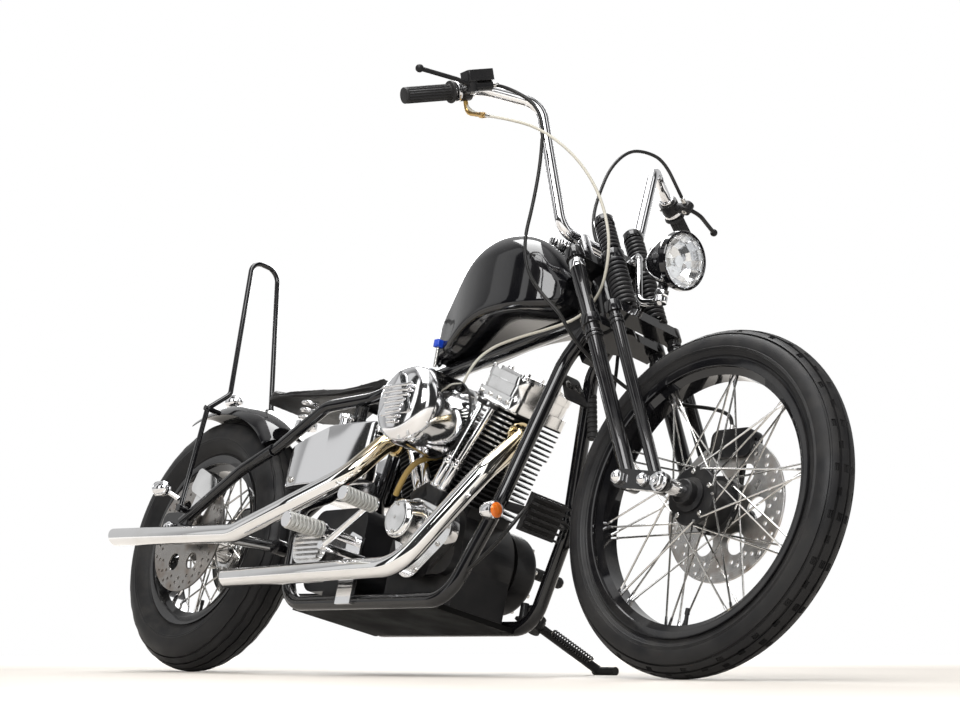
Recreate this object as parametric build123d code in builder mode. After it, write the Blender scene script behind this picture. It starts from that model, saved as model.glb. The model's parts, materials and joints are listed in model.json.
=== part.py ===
from build123d import *
from collections import namedtuple
from math import asin, atan2, cos, degrees, hypot, radians, sin, sqrt, tan
import os

# Chopper motorcycle with a springer fork, parked on its side stand.
# Modelled upright: X forward, Y to the rider's left, Z up, origin on the ground under
# the rear axle. Each finished piece is then leaned over with the whole motorcycle.
# Lengths are millimetres and angles are degrees.

os.makedirs("parts", exist_ok=True)

RIGHT, LEFT = -1, 1
SIDES = (RIGHT, LEFT)

# Stance
WHEELBASE = 1664.0
LEAN = 13.8
RAKE = 28.0
SEAT_GAP = 0.3
RUNNING_GAP = 6.0

# Tyres and wheels, one row per wheel
Wheel = namedtuple(
    "Wheel",
    "name tyre_radius crown bead_radius bead_half flange_radius well_radius "
    "hub_radius hub_half flange_half hub_barrel spoke_cross spoke_radius",
)
FRONT = Wheel("front", 345.0, 41.0, 267.0, 31.0, 278.0, 253.0, 59.0, 66.0, 33.0, 45.0, 62.0, 2.0)
REAR = Wheel("rear", 328.0, 66.0, 205.0, 41.0, 221.0, 190.0, 58.0, 86.0, 40.0, 40.0, 58.0, 2.3)
TYRE_LIP = 4.0
RIM_WALL = 4.5
SPOKES = 40
HUB_BOSS = 25.0
SPOKE_SPREAD = 7.0
AXLE_RADIUS = 9.5
AXLE_BORE = 5.0
AXLE_SPACER = 15.0

# Brake discs and drive, positions measured sideways from the middle plane
DISC_THICK = 5.0
FRONT_DISC_RADIUS = 146.0
FRONT_DISC_Y = 62.0
REAR_DISC_RADIUS = 146.0
REAR_DISC_Y = -82.0
DISC_WINDOW = 22.0
FRONT_CALIPER_HEIGHT = 58.0
FRONT_HOSE_X = 1640.0
DISC_HOLE = 4.0
BELT_Y = 89.0
BELT_WIDTH = 28.0
BELT_THICK = 5.0
REAR_PULLEY_RADIUS = 112.0
GEARBOX_PULLEY_RADIUS = 52.0

# Springer fork, measured ahead of the steering axis and up along it from the axle
AXLE_OFFSET = 99.0
LEG_AHEAD = 10.0
LEG_Y = 97.0
LEG_RADIUS = 16.0
SPRING_LEG_AHEAD = 67.0
SPRING_LEG_Y = 88.0
SPRING_LEG_RADIUS = 12.5
SPRING_Y = 45.0
ROCKER_PIVOT_UP = 64.0
ROCKER_THICK = 12.0
ROCKER_EYE = 19.0
LEG_EYE_HALF = 17.5
SPRING_PIVOT_SHARE = 0.64
LOWER_TREE_UP = 455.0
UPPER_TREE_UP = 637.0
TREE_THICK = 24.0
NECK_UP = LOWER_TREE_UP + TREE_THICK + RUNNING_GAP
NECK_LENGTH = UPPER_TREE_UP - 2 * RUNNING_GAP - NECK_UP
STEM_RADIUS = 14.0
NECK_RADIUS = 31.0
SPRING_CROWN_UP = 452.0
SPRING_CROWN_THICK = 26.0
PERCH_UP = UPPER_TREE_UP - 25.0
PERCH_THICK = 22.0
SPRING_TOP_UP = UPPER_TREE_UP + 79.0
LOWER_COIL_RADIUS = 20.5
UPPER_COIL_RADIUS = 17.5
SPRING_WIRE = 4.2
LOWER_TURNS = 11
UPPER_TURNS = 7
SPRING_ROD = 7.0

# Handlebar, right half; the left half is its mirror image
BAR_RADIUS = 12.7
BAR_UP = UPPER_TREE_UP + 83.0
RISER_Y = 48.0
BAR_BENDS = (  # ahead of the steering axis, y outwards, above the clamps
    (0.0, 108.0, 2.0),
    (79.0, 182.0, 277.0),
    (16.0, 288.0, 317.0),
    (-57.5, 455.0, 264.0),
)
BAR_BEND_RADII = (45.0, 50.0, 90.0)
GRIP_LENGTH = 118.0
MASTER_LENGTH = 48.0
GRIP_RADIUS = 18.0
LEVER_TIP = (7.0, 470.0, 281.0)

# Headlamp
LAMP_AHEAD = 168.0
LAMP_BELOW_PERCH = 53.0
LAMP_RADIUS = 62.0
LAMP_DEPTH = 96.0
LAMP_DROOP = 5.0

# Frame
TUBE_RADIUS = 16.0
RAIL_RADIUS = 14.0
BACKBONE_RADIUS = 19.0
GUSSET_HALF = 20.0
CRADLE_Y = 122.0
PIVOT_X = 478.0
PIVOT_Z = 262.0
ARM_Y = 130.0
ARM_RADIUS = 14.0
RAIL_Z = 130.0
BACKBONE_END = (770.0, 0.0, 692.0)
FRAME_SPLIT_X = 350.0

# Engine: a 45 degree V-twin around the crankshaft
CRANK = (943.0, 0.0, 250.0)
V_HALF = 22.5
CASE_RADIUS = 122.0
CASE_HALF = 75.0
CASE_FLOOR = 128.0
DECK = 132.0
BARREL_LENGTH = 138.0
HEAD_LENGTH = 84.0
FIN_PITCH = 11.5
FIN_THICK = 3.5
BARREL_RADIUS = 58.0
BARREL_FIN = (146.0, 150.0)  # along the motorcycle, across it
HEAD_FIN = (158.0, 158.0)
PRIMARY_IN = 112.0
PRIMARY_OUT = 178.0
PRIMARY_FRONT_RADIUS = 92.0
PRIMARY_REAR_RADIUS = 112.0
GEARBOX = (660.0, 0.0, 258.0)
GEARCASE_OUT = -118.0
CAM_UP = 52.0
PIPE_RADIUS = 22.2
PIPE_BORE = 20.2

# Tank and seat
TANK_WIDTH = 226.0
SEAT_HALF = 108.0
SEAT_OVER_FENDER = 18.0
SEAT_BACK = 206.0

# Sissy bar and fender
FENDER_RADIUS = 366.0
FENDER_HALF = 79.0
FENDER_WALL = 2.5
HOOP_RADIUS = 6.5
HOOP_HALF = 42.0

# Side stand
STAND_PIVOT = (1070.0, 162.0, 150.0)
STAND_AXIS = (0.0, 0.397, 0.918)
STAND_RADIUS = 10.0
STAND_BOSS = 11.0
STAND_AHEAD = 20.0

# Places that follow from the sizes above
front_axle = Vector(WHEELBASE, 0, FRONT.tyre_radius)
rear_axle = Vector(0, 0, REAR.tyre_radius)
rake = radians(RAKE)
FORK_UP = Vector(-sin(rake), 0, cos(rake))
FORK_AHEAD = Vector(cos(rake), 0, sin(rake))
steer_foot = front_axle - FORK_AHEAD * AXLE_OFFSET


def lowest_below_axle(wheel):
    """How far a leaned tyre reaches below its axle."""
    return (wheel.tyre_radius - wheel.crown) * cos(radians(LEAN)) + wheel.crown


rear_height = lowest_below_axle(REAR) - REAR.tyre_radius * cos(radians(LEAN))
front_height = lowest_below_axle(FRONT) - FRONT.tyre_radius * cos(radians(LEAN))
pitch = degrees(asin((front_height - rear_height) / WHEELBASE))
MIDDLE_X = (WHEELBASE + FRONT.tyre_radius - REAR.tyre_radius) / 2
MIDDLE_Y = 240.7
PARKED = Location((-MIDDLE_X, -MIDDLE_Y, rear_height)) * Location((0, 0, 0), (-LEAN, -pitch, 0))


def fork_point(ahead, left, up):
    """Point measured from the steering axis: ahead of it, to the left and up along it."""
    return steer_foot + FORK_AHEAD * ahead + Vector(0, left, 0) + FORK_UP * up


def fork_plane(up, ahead=0.0, left=0.0):
    """Plane square to the steering axis, its x ahead and its y to the left."""
    return Plane(fork_point(ahead, left, up), x_dir=FORK_AHEAD, z_dir=FORK_UP)


def side_plane(point):
    """Upright plane along the motorcycle, its x forward and its y up, facing right."""
    return Plane(point, x_dir=(1, 0, 0), z_dir=(0, -1, 0))


def axle_plane(point):
    """Upright plane across the motorcycle, its x to the left and its y up."""
    return Plane(point, x_dir=(0, 1, 0), z_dir=(1, 0, 0))


def rod(start, end, radius, bore=0.0):
    """Round bar between two points, hollow when it has a bore."""
    run = Vector(end) - Vector(start)
    with BuildPart() as piece:
        with BuildSketch(Plane(start, z_dir=run)):
            Circle(radius)
            if bore > 0:
                Circle(bore, mode=Mode.SUBTRACT)
        extrude(amount=run.length)
    return piece.part


def tube(route, radius, bends, bore=0.0):
    """Round tube along straight runs joined by bends of the given radii."""
    with BuildPart() as piece:
        with BuildLine() as path:
            FilletPolyline(*route, radius=bends)
        with BuildSketch(Plane(path.line @ 0, z_dir=path.line % 0)):
            Circle(radius)
            if bore > 0:
                Circle(bore, mode=Mode.SUBTRACT)
        sweep()
    return piece.part


def turned(profile, origin, direction):
    """Solid of revolution from (radius, distance along the axis) corners."""
    axis = Vector(direction).normalized()
    across = axis.cross(Vector(0, 1, 0) if abs(axis.Y) < 0.9 else Vector(1, 0, 0))
    with BuildPart() as piece:
        with BuildSketch(Plane(origin, x_dir=across, z_dir=across.cross(axis))):
            with BuildLine():
                Polyline(*profile, close=True)
            make_face()
        revolve(axis=Axis(origin, axis))
    return piece.part


def easy_bends(route):
    """Largest bend radius that each corner of a cable's route leaves room for."""
    radii = []
    for before, here, after in zip(route, route[1:], route[2:]):
        first = Vector(here) - Vector(before)
        second = Vector(after) - Vector(here)
        turn = radians(first.get_angle(second))
        radii.append(0.45 * min(first.length, second.length) / tan(turn / 2))
    return radii


def coil(base, up, radius, wire, turns, height):
    """Coil spring as tangent half turns, each a tilted half circle."""
    up = Vector(up).normalized()
    across = Vector(0, 1, 0)
    ahead = across.cross(up)
    half_rise = height / (2 * turns)
    bulge = hypot(radius, half_rise / 2)
    with BuildPart() as piece:
        with BuildLine() as path:
            for half in range(2 * turns):
                way = 1 if half % 2 == 0 else -1
                start = base + across * (radius * way) + up * (half * half_rise)
                middle = base + ahead * (bulge * way) + up * ((half + 0.5) * half_rise)
                end = base - across * (radius * way) + up * ((half + 1) * half_rise)
                ThreePointArc(start, middle, end)
        with BuildSketch(Plane(path.line @ 0, z_dir=path.line % 0)):
            Circle(wire)
        sweep()
    return piece.part


def park(builder, label):
    """Lean a finished piece with the whole motorcycle and write its file."""
    builder.part.label = label
    builder.part.move(PARKED)
    export_step(builder.part, f"parts/{label}.step")


# Tyres, laced wheels and their hubs
def make_wheel(wheel, axle):
    """Tyre and laced wheel of one end of the motorcycle."""
    crown_start = wheel.tyre_radius - wheel.crown
    lip = wheel.flange_radius + TYRE_LIP
    with BuildPart() as tyre:
        with BuildSketch(axle_plane(axle)):
            with BuildLine():
                ThreePointArc((wheel.crown, crown_start), (0, wheel.tyre_radius), (-wheel.crown, crown_start))
                for side in SIDES:
                    TangentArc((side * wheel.crown, crown_start), (side * wheel.bead_half, lip), tangent=(0, -1))
                Polyline(
                    (-wheel.bead_half, lip),
                    (-wheel.bead_half, wheel.bead_radius),
                    (wheel.bead_half, wheel.bead_radius),
                    (wheel.bead_half, lip),
                )
            make_face()
        revolve(axis=Axis(axle, (0, 1, 0)))
    park(tyre, f"{wheel.name}_tyre")

    seat_radius = wheel.bead_radius - SEAT_GAP
    flange_in = wheel.bead_half + SEAT_GAP
    well_half = wheel.bead_half * 0.55
    half_rim = (
        (flange_in, wheel.flange_radius),
        (flange_in, seat_radius),
        (well_half + RIM_WALL, seat_radius),
        (well_half, wheel.well_radius),
    )
    half_back = (
        (well_half + RIM_WALL / 2, wheel.well_radius - RIM_WALL),
        (well_half + RIM_WALL * 2, seat_radius - RIM_WALL),
        (flange_in + RIM_WALL, seat_radius - RIM_WALL),
        (flange_in + RIM_WALL, wheel.flange_radius),
    )
    outline = [*half_rim, *[(-y, r) for y, r in reversed(half_rim)]]
    outline += [*[(-y, r) for y, r in reversed(half_back)], *half_back]
    hub_outline = (
        (wheel.hub_half, AXLE_RADIUS + SEAT_GAP),
        (wheel.hub_half, HUB_BOSS),
        (wheel.flange_half + RIM_WALL, HUB_BOSS),
        (wheel.flange_half + RIM_WALL, wheel.hub_radius),
        (wheel.flange_half - RIM_WALL, wheel.hub_radius),
        (wheel.flange_half - RIM_WALL, wheel.hub_barrel),
    )
    hub = [*hub_outline, *[(-y, r) for y, r in reversed(hub_outline)]]
    spokes = []
    for number in range(SPOKES):
        side = LEFT if number % 2 else RIGHT
        pair = number // 2
        turn = wheel.spoke_cross if pair % 2 else -wheel.spoke_cross
        angle = radians(pair * 720 / SPOKES + (180 / SPOKES if side == LEFT else 0))
        far = angle + radians(turn)
        near_radius = wheel.hub_radius - RIM_WALL
        start = axle + Vector(near_radius * cos(angle), side * wheel.flange_half, near_radius * sin(angle))
        rim_radius = wheel.well_radius - RIM_WALL / 2
        end = axle + Vector(rim_radius * cos(far), side * SPOKE_SPREAD, rim_radius * sin(far))
        spokes.append(rod(start, end, wheel.spoke_radius))
    with BuildPart() as laced:
        with BuildSketch(axle_plane(axle)):
            for corners in (outline, hub):
                with BuildLine():
                    Polyline(*corners, close=True)
                make_face()
        revolve(axis=Axis(axle, (0, 1, 0)))
        add(spokes)
    park(laced, f"{wheel.name}_wheel")


make_wheel(FRONT, front_axle)
make_wheel(REAR, rear_axle)


def make_disc(label, axle, radius, disc_y, flange_half):
    """Drilled brake disc with round windows, on a collar beside the hub flange."""
    inner_y = abs(disc_y) - DISC_THICK / 2
    side = LEFT if disc_y > 0 else RIGHT
    face = Plane(axle + Vector(0, side * inner_y, 0), x_dir=(1, 0, 0), z_dir=(0, side, 0))
    with BuildPart() as disc:
        with BuildSketch(face):
            Circle(radius)
            Circle(HUB_BOSS + SEAT_GAP, mode=Mode.SUBTRACT)
            with PolarLocations(radius - 3 * DISC_WINDOW, 6):
                Circle(DISC_WINDOW, mode=Mode.SUBTRACT)
            for row, holes in ((10, 20), (22, 20), (34, 20)):
                with PolarLocations(radius - row, holes, start_angle=row / 2):
                    Circle(DISC_HOLE, mode=Mode.SUBTRACT)
        extrude(amount=DISC_THICK)
        collar = inner_y - flange_half - RIM_WALL
        with BuildSketch(face):
            Circle(HUB_BOSS + 14)
            Circle(HUB_BOSS + SEAT_GAP, mode=Mode.SUBTRACT)
        extrude(amount=-collar)
    park(disc, label)


make_disc("front_disc", front_axle, FRONT_DISC_RADIUS, FRONT_DISC_Y, FRONT.flange_half)
make_disc("rear_disc", rear_axle, REAR_DISC_RADIUS, REAR_DISC_Y, REAR.flange_half)

# Toothed drive belt and the pulley on the rear hub
belt_in = BELT_Y - BELT_WIDTH / 2
with BuildPart() as rear_pulley:
    with BuildSketch(Plane(rear_axle + Vector(0, belt_in, 0), x_dir=(1, 0, 0), z_dir=(0, 1, 0))):
        Circle(REAR_PULLEY_RADIUS - SEAT_GAP)
        Circle(HUB_BOSS + SEAT_GAP, mode=Mode.SUBTRACT)
        with PolarLocations((REAR_PULLEY_RADIUS + HUB_BOSS) / 2, 5):
            Circle(21, mode=Mode.SUBTRACT)
    extrude(amount=BELT_WIDTH)
    with BuildSketch(Plane(rear_axle + Vector(0, belt_in, 0), x_dir=(1, 0, 0), z_dir=(0, 1, 0))):
        Circle(HUB_BOSS + 14)
        Circle(HUB_BOSS + SEAT_GAP, mode=Mode.SUBTRACT)
    extrude(amount=-(belt_in - REAR.flange_half - RIM_WALL))
park(rear_pulley, "rear_pulley")

gearbox_axis = Vector(GEARBOX)
with BuildPart() as drive_belt:
    with BuildSketch(side_plane(Vector(0, BELT_Y, 0))):
        for grow, mode in ((BELT_THICK, Mode.ADD), (0.0, Mode.SUBTRACT)):
            with BuildSketch(mode=mode) as loop:
                with Locations((rear_axle.X, rear_axle.Z)):
                    Circle(REAR_PULLEY_RADIUS + grow)
                with Locations((gearbox_axis.X, gearbox_axis.Z)):
                    Circle(GEARBOX_PULLEY_RADIUS + grow)
                make_hull()
    extrude(amount=BELT_WIDTH / 2, both=True)
park(drive_belt, "drive_belt")

# Rigid fork: legs, both trees and the stem
neck_top = NECK_UP + NECK_LENGTH
rocker_pivot = fork_point(LEG_AHEAD, 0, ROCKER_PIVOT_UP)
stem = rod(fork_point(0, 0, LOWER_TREE_UP), fork_point(0, 0, UPPER_TREE_UP + TREE_THICK + 12), STEM_RADIUS)
legs = [
    rod(
        fork_point(LEG_AHEAD, side * LEG_Y, ROCKER_PIVOT_UP),
        fork_point(LEG_AHEAD, side * LEG_Y, UPPER_TREE_UP + TREE_THICK + 6),
        LEG_RADIUS,
    )
    for side in SIDES
]
leg_eyes = [
    rod(
        rocker_pivot + Vector(0, side * (LEG_Y - LEG_EYE_HALF), 0),
        rocker_pivot + Vector(0, side * (LEG_Y + LEG_EYE_HALF), 0),
        ROCKER_EYE,
    )
    for side in SIDES
]
with BuildPart() as rigid_fork:
    for up in (LOWER_TREE_UP, UPPER_TREE_UP):
        with BuildSketch(fork_plane(up)):
            with Locations((LEG_AHEAD, LEG_Y), (LEG_AHEAD, -LEG_Y)):
                Circle(LEG_RADIUS + 5)
            with Locations((LEG_AHEAD / 2, 0)):
                Rectangle(44, 2 * LEG_Y)
            Circle(NECK_RADIUS + 4)
        extrude(amount=TREE_THICK)
    add([stem, *legs, *leg_eyes])
park(rigid_fork, "rigid_fork")

# Spring legs with the crown that carries the springs and the rods through them
spring_pivot_up = ROCKER_PIVOT_UP * (1 - SPRING_PIVOT_SHARE)
spring_legs_bars = []
for side in SIDES:
    low = fork_point(SPRING_LEG_AHEAD, side * SPRING_LEG_Y, spring_pivot_up)
    high = fork_point(SPRING_LEG_AHEAD, side * SPRING_LEG_Y, SPRING_CROWN_UP + SPRING_CROWN_THICK - 3)
    spring_legs_bars.append(rod(low, high, SPRING_LEG_RADIUS))
    spring_legs_bars.append(
        rod(
            low - Vector(0, side * (SPRING_LEG_RADIUS + 2), 0),
            low + Vector(0, side * (LEG_Y + LEG_EYE_HALF - SPRING_LEG_Y), 0),
            SPRING_LEG_RADIUS + 3,
        )
    )
    spring_legs_bars.append(
        rod(
            fork_point(SPRING_LEG_AHEAD, side * SPRING_Y, SPRING_CROWN_UP),
            fork_point(SPRING_LEG_AHEAD, side * SPRING_Y, SPRING_TOP_UP + 20),
            SPRING_ROD,
        )
    )
    spring_legs_bars.append(
        rod(
            fork_point(SPRING_LEG_AHEAD, side * SPRING_Y, SPRING_TOP_UP + SEAT_GAP),
            fork_point(SPRING_LEG_AHEAD, side * SPRING_Y, SPRING_TOP_UP + 14),
            UPPER_COIL_RADIUS + SPRING_WIRE,
        )
    )
with BuildPart() as spring_legs:
    with BuildSketch(fork_plane(SPRING_CROWN_UP, SPRING_LEG_AHEAD)):
        with Locations((0, SPRING_LEG_Y), (0, -SPRING_LEG_Y)):
            Circle(SPRING_LEG_RADIUS + 6)
        Rectangle(34, 2 * SPRING_LEG_Y)
    extrude(amount=SPRING_CROWN_THICK)
    add(spring_legs_bars)
park(spring_legs, "spring_legs")

# Spring perch on the upper tree, and the four coil springs
with BuildPart() as spring_perch:
    with BuildSketch(fork_plane(PERCH_UP)):
        with Locations((SPRING_LEG_AHEAD, SPRING_Y), (SPRING_LEG_AHEAD, -SPRING_Y)):
            Circle(LOWER_COIL_RADIUS + SPRING_WIRE)
        with Locations((SPRING_LEG_AHEAD, 0)):
            Rectangle(30, 2 * SPRING_Y)
        with Locations((SPRING_LEG_AHEAD / 2 + 20, 0)):
            Rectangle(SPRING_LEG_AHEAD - 40, 50)
        with Locations((SPRING_LEG_AHEAD, SPRING_Y), (SPRING_LEG_AHEAD, -SPRING_Y)):
            Circle(SPRING_ROD + SEAT_GAP, mode=Mode.SUBTRACT)
    extrude(amount=PERCH_THICK)
    with BuildSketch(fork_plane(PERCH_UP + PERCH_THICK)):
        with Locations((NECK_RADIUS + 17, 0)):
            Rectangle(20, 50)
    extrude(amount=UPPER_TREE_UP + TREE_THICK - PERCH_UP - PERCH_THICK)
park(spring_perch, "spring_perch")

spring_coils = []
lower_base = SPRING_CROWN_UP + SPRING_CROWN_THICK + SPRING_WIRE + SEAT_GAP
lower_height = PERCH_UP - SPRING_WIRE - SEAT_GAP - lower_base
upper_base = PERCH_UP + PERCH_THICK + SPRING_WIRE + SEAT_GAP
upper_height = SPRING_TOP_UP - SPRING_WIRE - upper_base
for side in SIDES:
    low = fork_point(SPRING_LEG_AHEAD, side * SPRING_Y, lower_base)
    spring_coils.append(coil(low, FORK_UP, LOWER_COIL_RADIUS, SPRING_WIRE, LOWER_TURNS, lower_height))
    high = fork_point(SPRING_LEG_AHEAD, side * SPRING_Y, upper_base)
    spring_coils.append(coil(high, FORK_UP, UPPER_COIL_RADIUS, SPRING_WIRE, UPPER_TURNS, upper_height))
with BuildPart() as fork_springs:
    add(spring_coils)
park(fork_springs, "fork_springs")

# Rockers outside the legs, and the front axle through them
rocker_in = LEG_Y + LEG_EYE_HALF + SEAT_GAP
spring_pivot = fork_point(SPRING_LEG_AHEAD, 0, spring_pivot_up)
with BuildPart() as rockers:
    for side in SIDES:
        with BuildSketch(Plane((0, side * rocker_in, 0), x_dir=(1, 0, 0), z_dir=(0, -1, 0))):
            with BuildSketch() as outline:
                for eye in (rocker_pivot, spring_pivot, front_axle):
                    with Locations((eye.X, eye.Z)):
                        Circle(ROCKER_EYE)
                make_hull()
            with Locations((front_axle.X, front_axle.Z)):
                Circle(AXLE_RADIUS + SEAT_GAP, mode=Mode.SUBTRACT)
        extrude(amount=-side * ROCKER_THICK)
        for eye in (rocker_pivot, spring_pivot):
            start = eye + Vector(0, side * (rocker_in + ROCKER_THICK), 0)
            add(rod(start, start + Vector(0, side * 9, 0), 11))
park(rockers, "rockers")

axle_end = rocker_in + ROCKER_THICK + 14
with BuildPart() as front_axle_bar:
    add(rod(front_axle - Vector(0, axle_end, 0), front_axle + Vector(0, axle_end, 0), AXLE_RADIUS, AXLE_BORE))
    for side in SIDES:
        near = rocker_in + ROCKER_THICK + SEAT_GAP
        add(rod(front_axle + Vector(0, side * near, 0), front_axle + Vector(0, side * (near + 10), 0), 15, AXLE_BORE))
        spacer = front_axle + Vector(0, side * (FRONT.hub_half + SEAT_GAP), 0)
        add(rod(spacer, front_axle + Vector(0, side * (rocker_in - SEAT_GAP), 0), AXLE_SPACER, AXLE_BORE))
park(front_axle_bar, "front_axle")

# Brake calipers over the discs, each on a carrier plate round its axle
Caliper = namedtuple("Caliper", "label axle disc_radius disc_y angle length height reach")
for brake in (
    Caliper("front_caliper", front_axle, FRONT_DISC_RADIUS, FRONT_DISC_Y, 90.0, 104.0, FRONT_CALIPER_HEIGHT, 20.0),
    Caliper("rear_caliper", rear_axle, REAR_DISC_RADIUS, REAR_DISC_Y, 67.0, 104.0, 64.0, 22.0),
):
    side = LEFT if brake.disc_y > 0 else RIGHT
    turn = radians(brake.angle)
    disc_middle = brake.axle + Vector(0, brake.disc_y, 0)
    body = disc_middle + Vector(cos(turn), 0, sin(turn)) * (brake.disc_radius - 14)
    with BuildPart() as caliper:
        with BuildSketch(Plane(body, x_dir=(-sin(turn), 0, cos(turn)), z_dir=(0, side, 0))):
            RectangleRounded(brake.length, brake.height, 16)
        extrude(amount=brake.reach)
        extrude(caliper.faces().sort_by(Axis.Y)[0 if side == LEFT else -1], amount=14)
        with BuildSketch(Plane(disc_middle, x_dir=(1, 0, 0), z_dir=(0, side, 0))):
            Circle(brake.disc_radius + RUNNING_GAP)
        extrude(amount=DISC_THICK / 2 + 1.5, both=True, mode=Mode.SUBTRACT)
        with BuildSketch(Plane((0, brake.disc_y + side * 9, 0), x_dir=(1, 0, 0), z_dir=(0, -1, 0))):
            with BuildSketch() as carrier:
                with Locations((brake.axle.X, brake.axle.Z)):
                    Circle(AXLE_SPACER + 6)
                with Locations((body.X, body.Z)):
                    Circle(22)
                make_hull()
            with Locations((brake.axle.X, brake.axle.Z)):
                Circle(AXLE_SPACER + SEAT_GAP, mode=Mode.SUBTRACT)
        extrude(amount=-side * 8)
    park(caliper, brake.label)

# Headlamp bucket, lens and bracket
droop = radians(LAMP_DROOP)
lamp_ahead = Vector(cos(droop), 0, -sin(droop))
lamp_centre = fork_point(LAMP_AHEAD, 0, PERCH_UP - LAMP_BELOW_PERCH)
lamp_front = lamp_centre + lamp_ahead * (LAMP_DEPTH / 2)
lamp_up = lamp_ahead.cross(Vector(0, 1, 0))
with BuildPart() as headlamp:
    with BuildSketch(Plane(lamp_front, x_dir=lamp_up, z_dir=lamp_up.cross(lamp_ahead))):
        with BuildLine():
            Polyline((0, -8), (LAMP_RADIUS - 6, -8), (LAMP_RADIUS - 6, 0), (LAMP_RADIUS, 0), (LAMP_RADIUS, -14))
            Line((LAMP_RADIUS, -14), (LAMP_RADIUS - 4, -20))
            ThreePointArc((LAMP_RADIUS - 4, -20), (LAMP_RADIUS * 0.66, -LAMP_DEPTH * 0.74), (0, -LAMP_DEPTH))
            Line((0, -LAMP_DEPTH), (0, -8))
        make_face()
    revolve(axis=Axis(lamp_front, lamp_ahead))
    foot = lamp_centre - lamp_up * (LAMP_RADIUS - 12)
    add(rod(foot, foot - lamp_up * 26, 11))
park(headlamp, "headlamp")

with BuildPart() as headlamp_lens:
    with BuildSketch(Plane(lamp_front, x_dir=lamp_up, z_dir=lamp_up.cross(lamp_ahead))):
        lens_rim = LAMP_RADIUS - 6 - SEAT_GAP
        with BuildLine():
            Polyline((0, 5), (0, -8 + SEAT_GAP), (lens_rim, -8 + SEAT_GAP), (lens_rim, -2))
            TangentArc((0, 5), (lens_rim, -2), tangent=(1, 0))
        make_face()
    revolve(axis=Axis(lamp_front, lamp_ahead))
park(headlamp_lens, "headlamp_lens")

lamp_foot = foot - lamp_up * (26 + SEAT_GAP)
perch_front = fork_point(SPRING_LEG_AHEAD + 15 + SEAT_GAP, 0, PERCH_UP + PERCH_THICK / 2)
with BuildPart() as headlamp_bracket:
    add(rod(lamp_foot, lamp_foot - lamp_up * 14, 15))
    bracket_low = lamp_foot - lamp_up * 11
    add(rod(perch_front, perch_front + FORK_AHEAD * 20, 10))
    add(tube([bracket_low, bracket_low - lamp_ahead * 60, perch_front + FORK_AHEAD * 16], 8, [30]))
park(headlamp_bracket, "headlamp_bracket")

# Handlebar with its risers, grips and hand controls
bar_centre = fork_point(0, 0, BAR_UP)
right_half = [fork_point(ahead, -y, BAR_UP + above) for ahead, y, above in BAR_BENDS]
left_half = [fork_point(ahead, y, BAR_UP + above) for ahead, y, above in BAR_BENDS]
bar_route = [*reversed(right_half), *left_half]
bar_radii = [*reversed(BAR_BEND_RADII), *BAR_BEND_RADII]
with BuildPart() as handlebar:
    add(tube(bar_route, BAR_RADIUS, bar_radii))
    for side in SIDES:
        add(
            rod(
                fork_point(0, side * RISER_Y, UPPER_TREE_UP + TREE_THICK + SEAT_GAP),
                fork_point(0, side * RISER_Y, BAR_UP + 6),
                BAR_RADIUS + 6,
            )
        )
park(handlebar, "handlebar")

with BuildPart() as grips:
    for half in (right_half, left_half):
        way = (half[2] - half[3]).normalized()
        end = half[3] - way * 6
        add(rod(end, end + way * GRIP_LENGTH, GRIP_RADIUS))
        add(rod(end + way * (GRIP_LENGTH - 6), end + way * GRIP_LENGTH, GRIP_RADIUS + 7))
        add(rod(half[3], end + way * (GRIP_LENGTH + 2), BAR_RADIUS + SEAT_GAP), mode=Mode.SUBTRACT)
park(grips, "grips")


def bar_control(half, label, reservoir):
    """Clamp, housing and ball-ended lever of one end of the handlebar."""
    way = (half[2] - half[3]).normalized()
    side = LEFT if half[3].Y > 0 else RIGHT
    clamp = half[3] + way * (GRIP_LENGTH + 2)
    ahead = (Vector(1, 0, 0) - way * way.X).normalized()
    lift = way.cross(ahead) * side
    pivot = clamp + ahead * 46 + way * 16
    tip = fork_point(LEVER_TIP[0], side * LEVER_TIP[1], BAR_UP + LEVER_TIP[2])
    elbow = pivot + (tip - pivot) * 0.3 + ahead * 14
    with BuildPart() as control:
        add(rod(clamp, clamp + way * 34, GRIP_RADIUS + 4))
        add(rod(clamp + way * 16 + ahead * 8, pivot + ahead * 10, 12))
        add(rod(pivot - lift * 12, pivot + lift * 12, 13))
        add(tube([pivot, elbow, tip], 5.0, [60]))
        with Locations(Location(tip)):
            Sphere(9)
        if reservoir:
            with BuildSketch(Plane(pivot + lift * 10 - ahead * 4 + way * 20, x_dir=way, z_dir=lift)):
                RectangleRounded(64, 40, 6)
            extrude(amount=24)
            add(rod(pivot, pivot + way * MASTER_LENGTH, 11))
        add(rod(clamp - way * 1, clamp + way * 50, BAR_RADIUS + SEAT_GAP), mode=Mode.SUBTRACT)
    park(control, label)
    return clamp, pivot, way, ahead, lift


right_control = bar_control(right_half, "right_bar_control", True)
left_control = bar_control(left_half, "left_bar_control", False)

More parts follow.
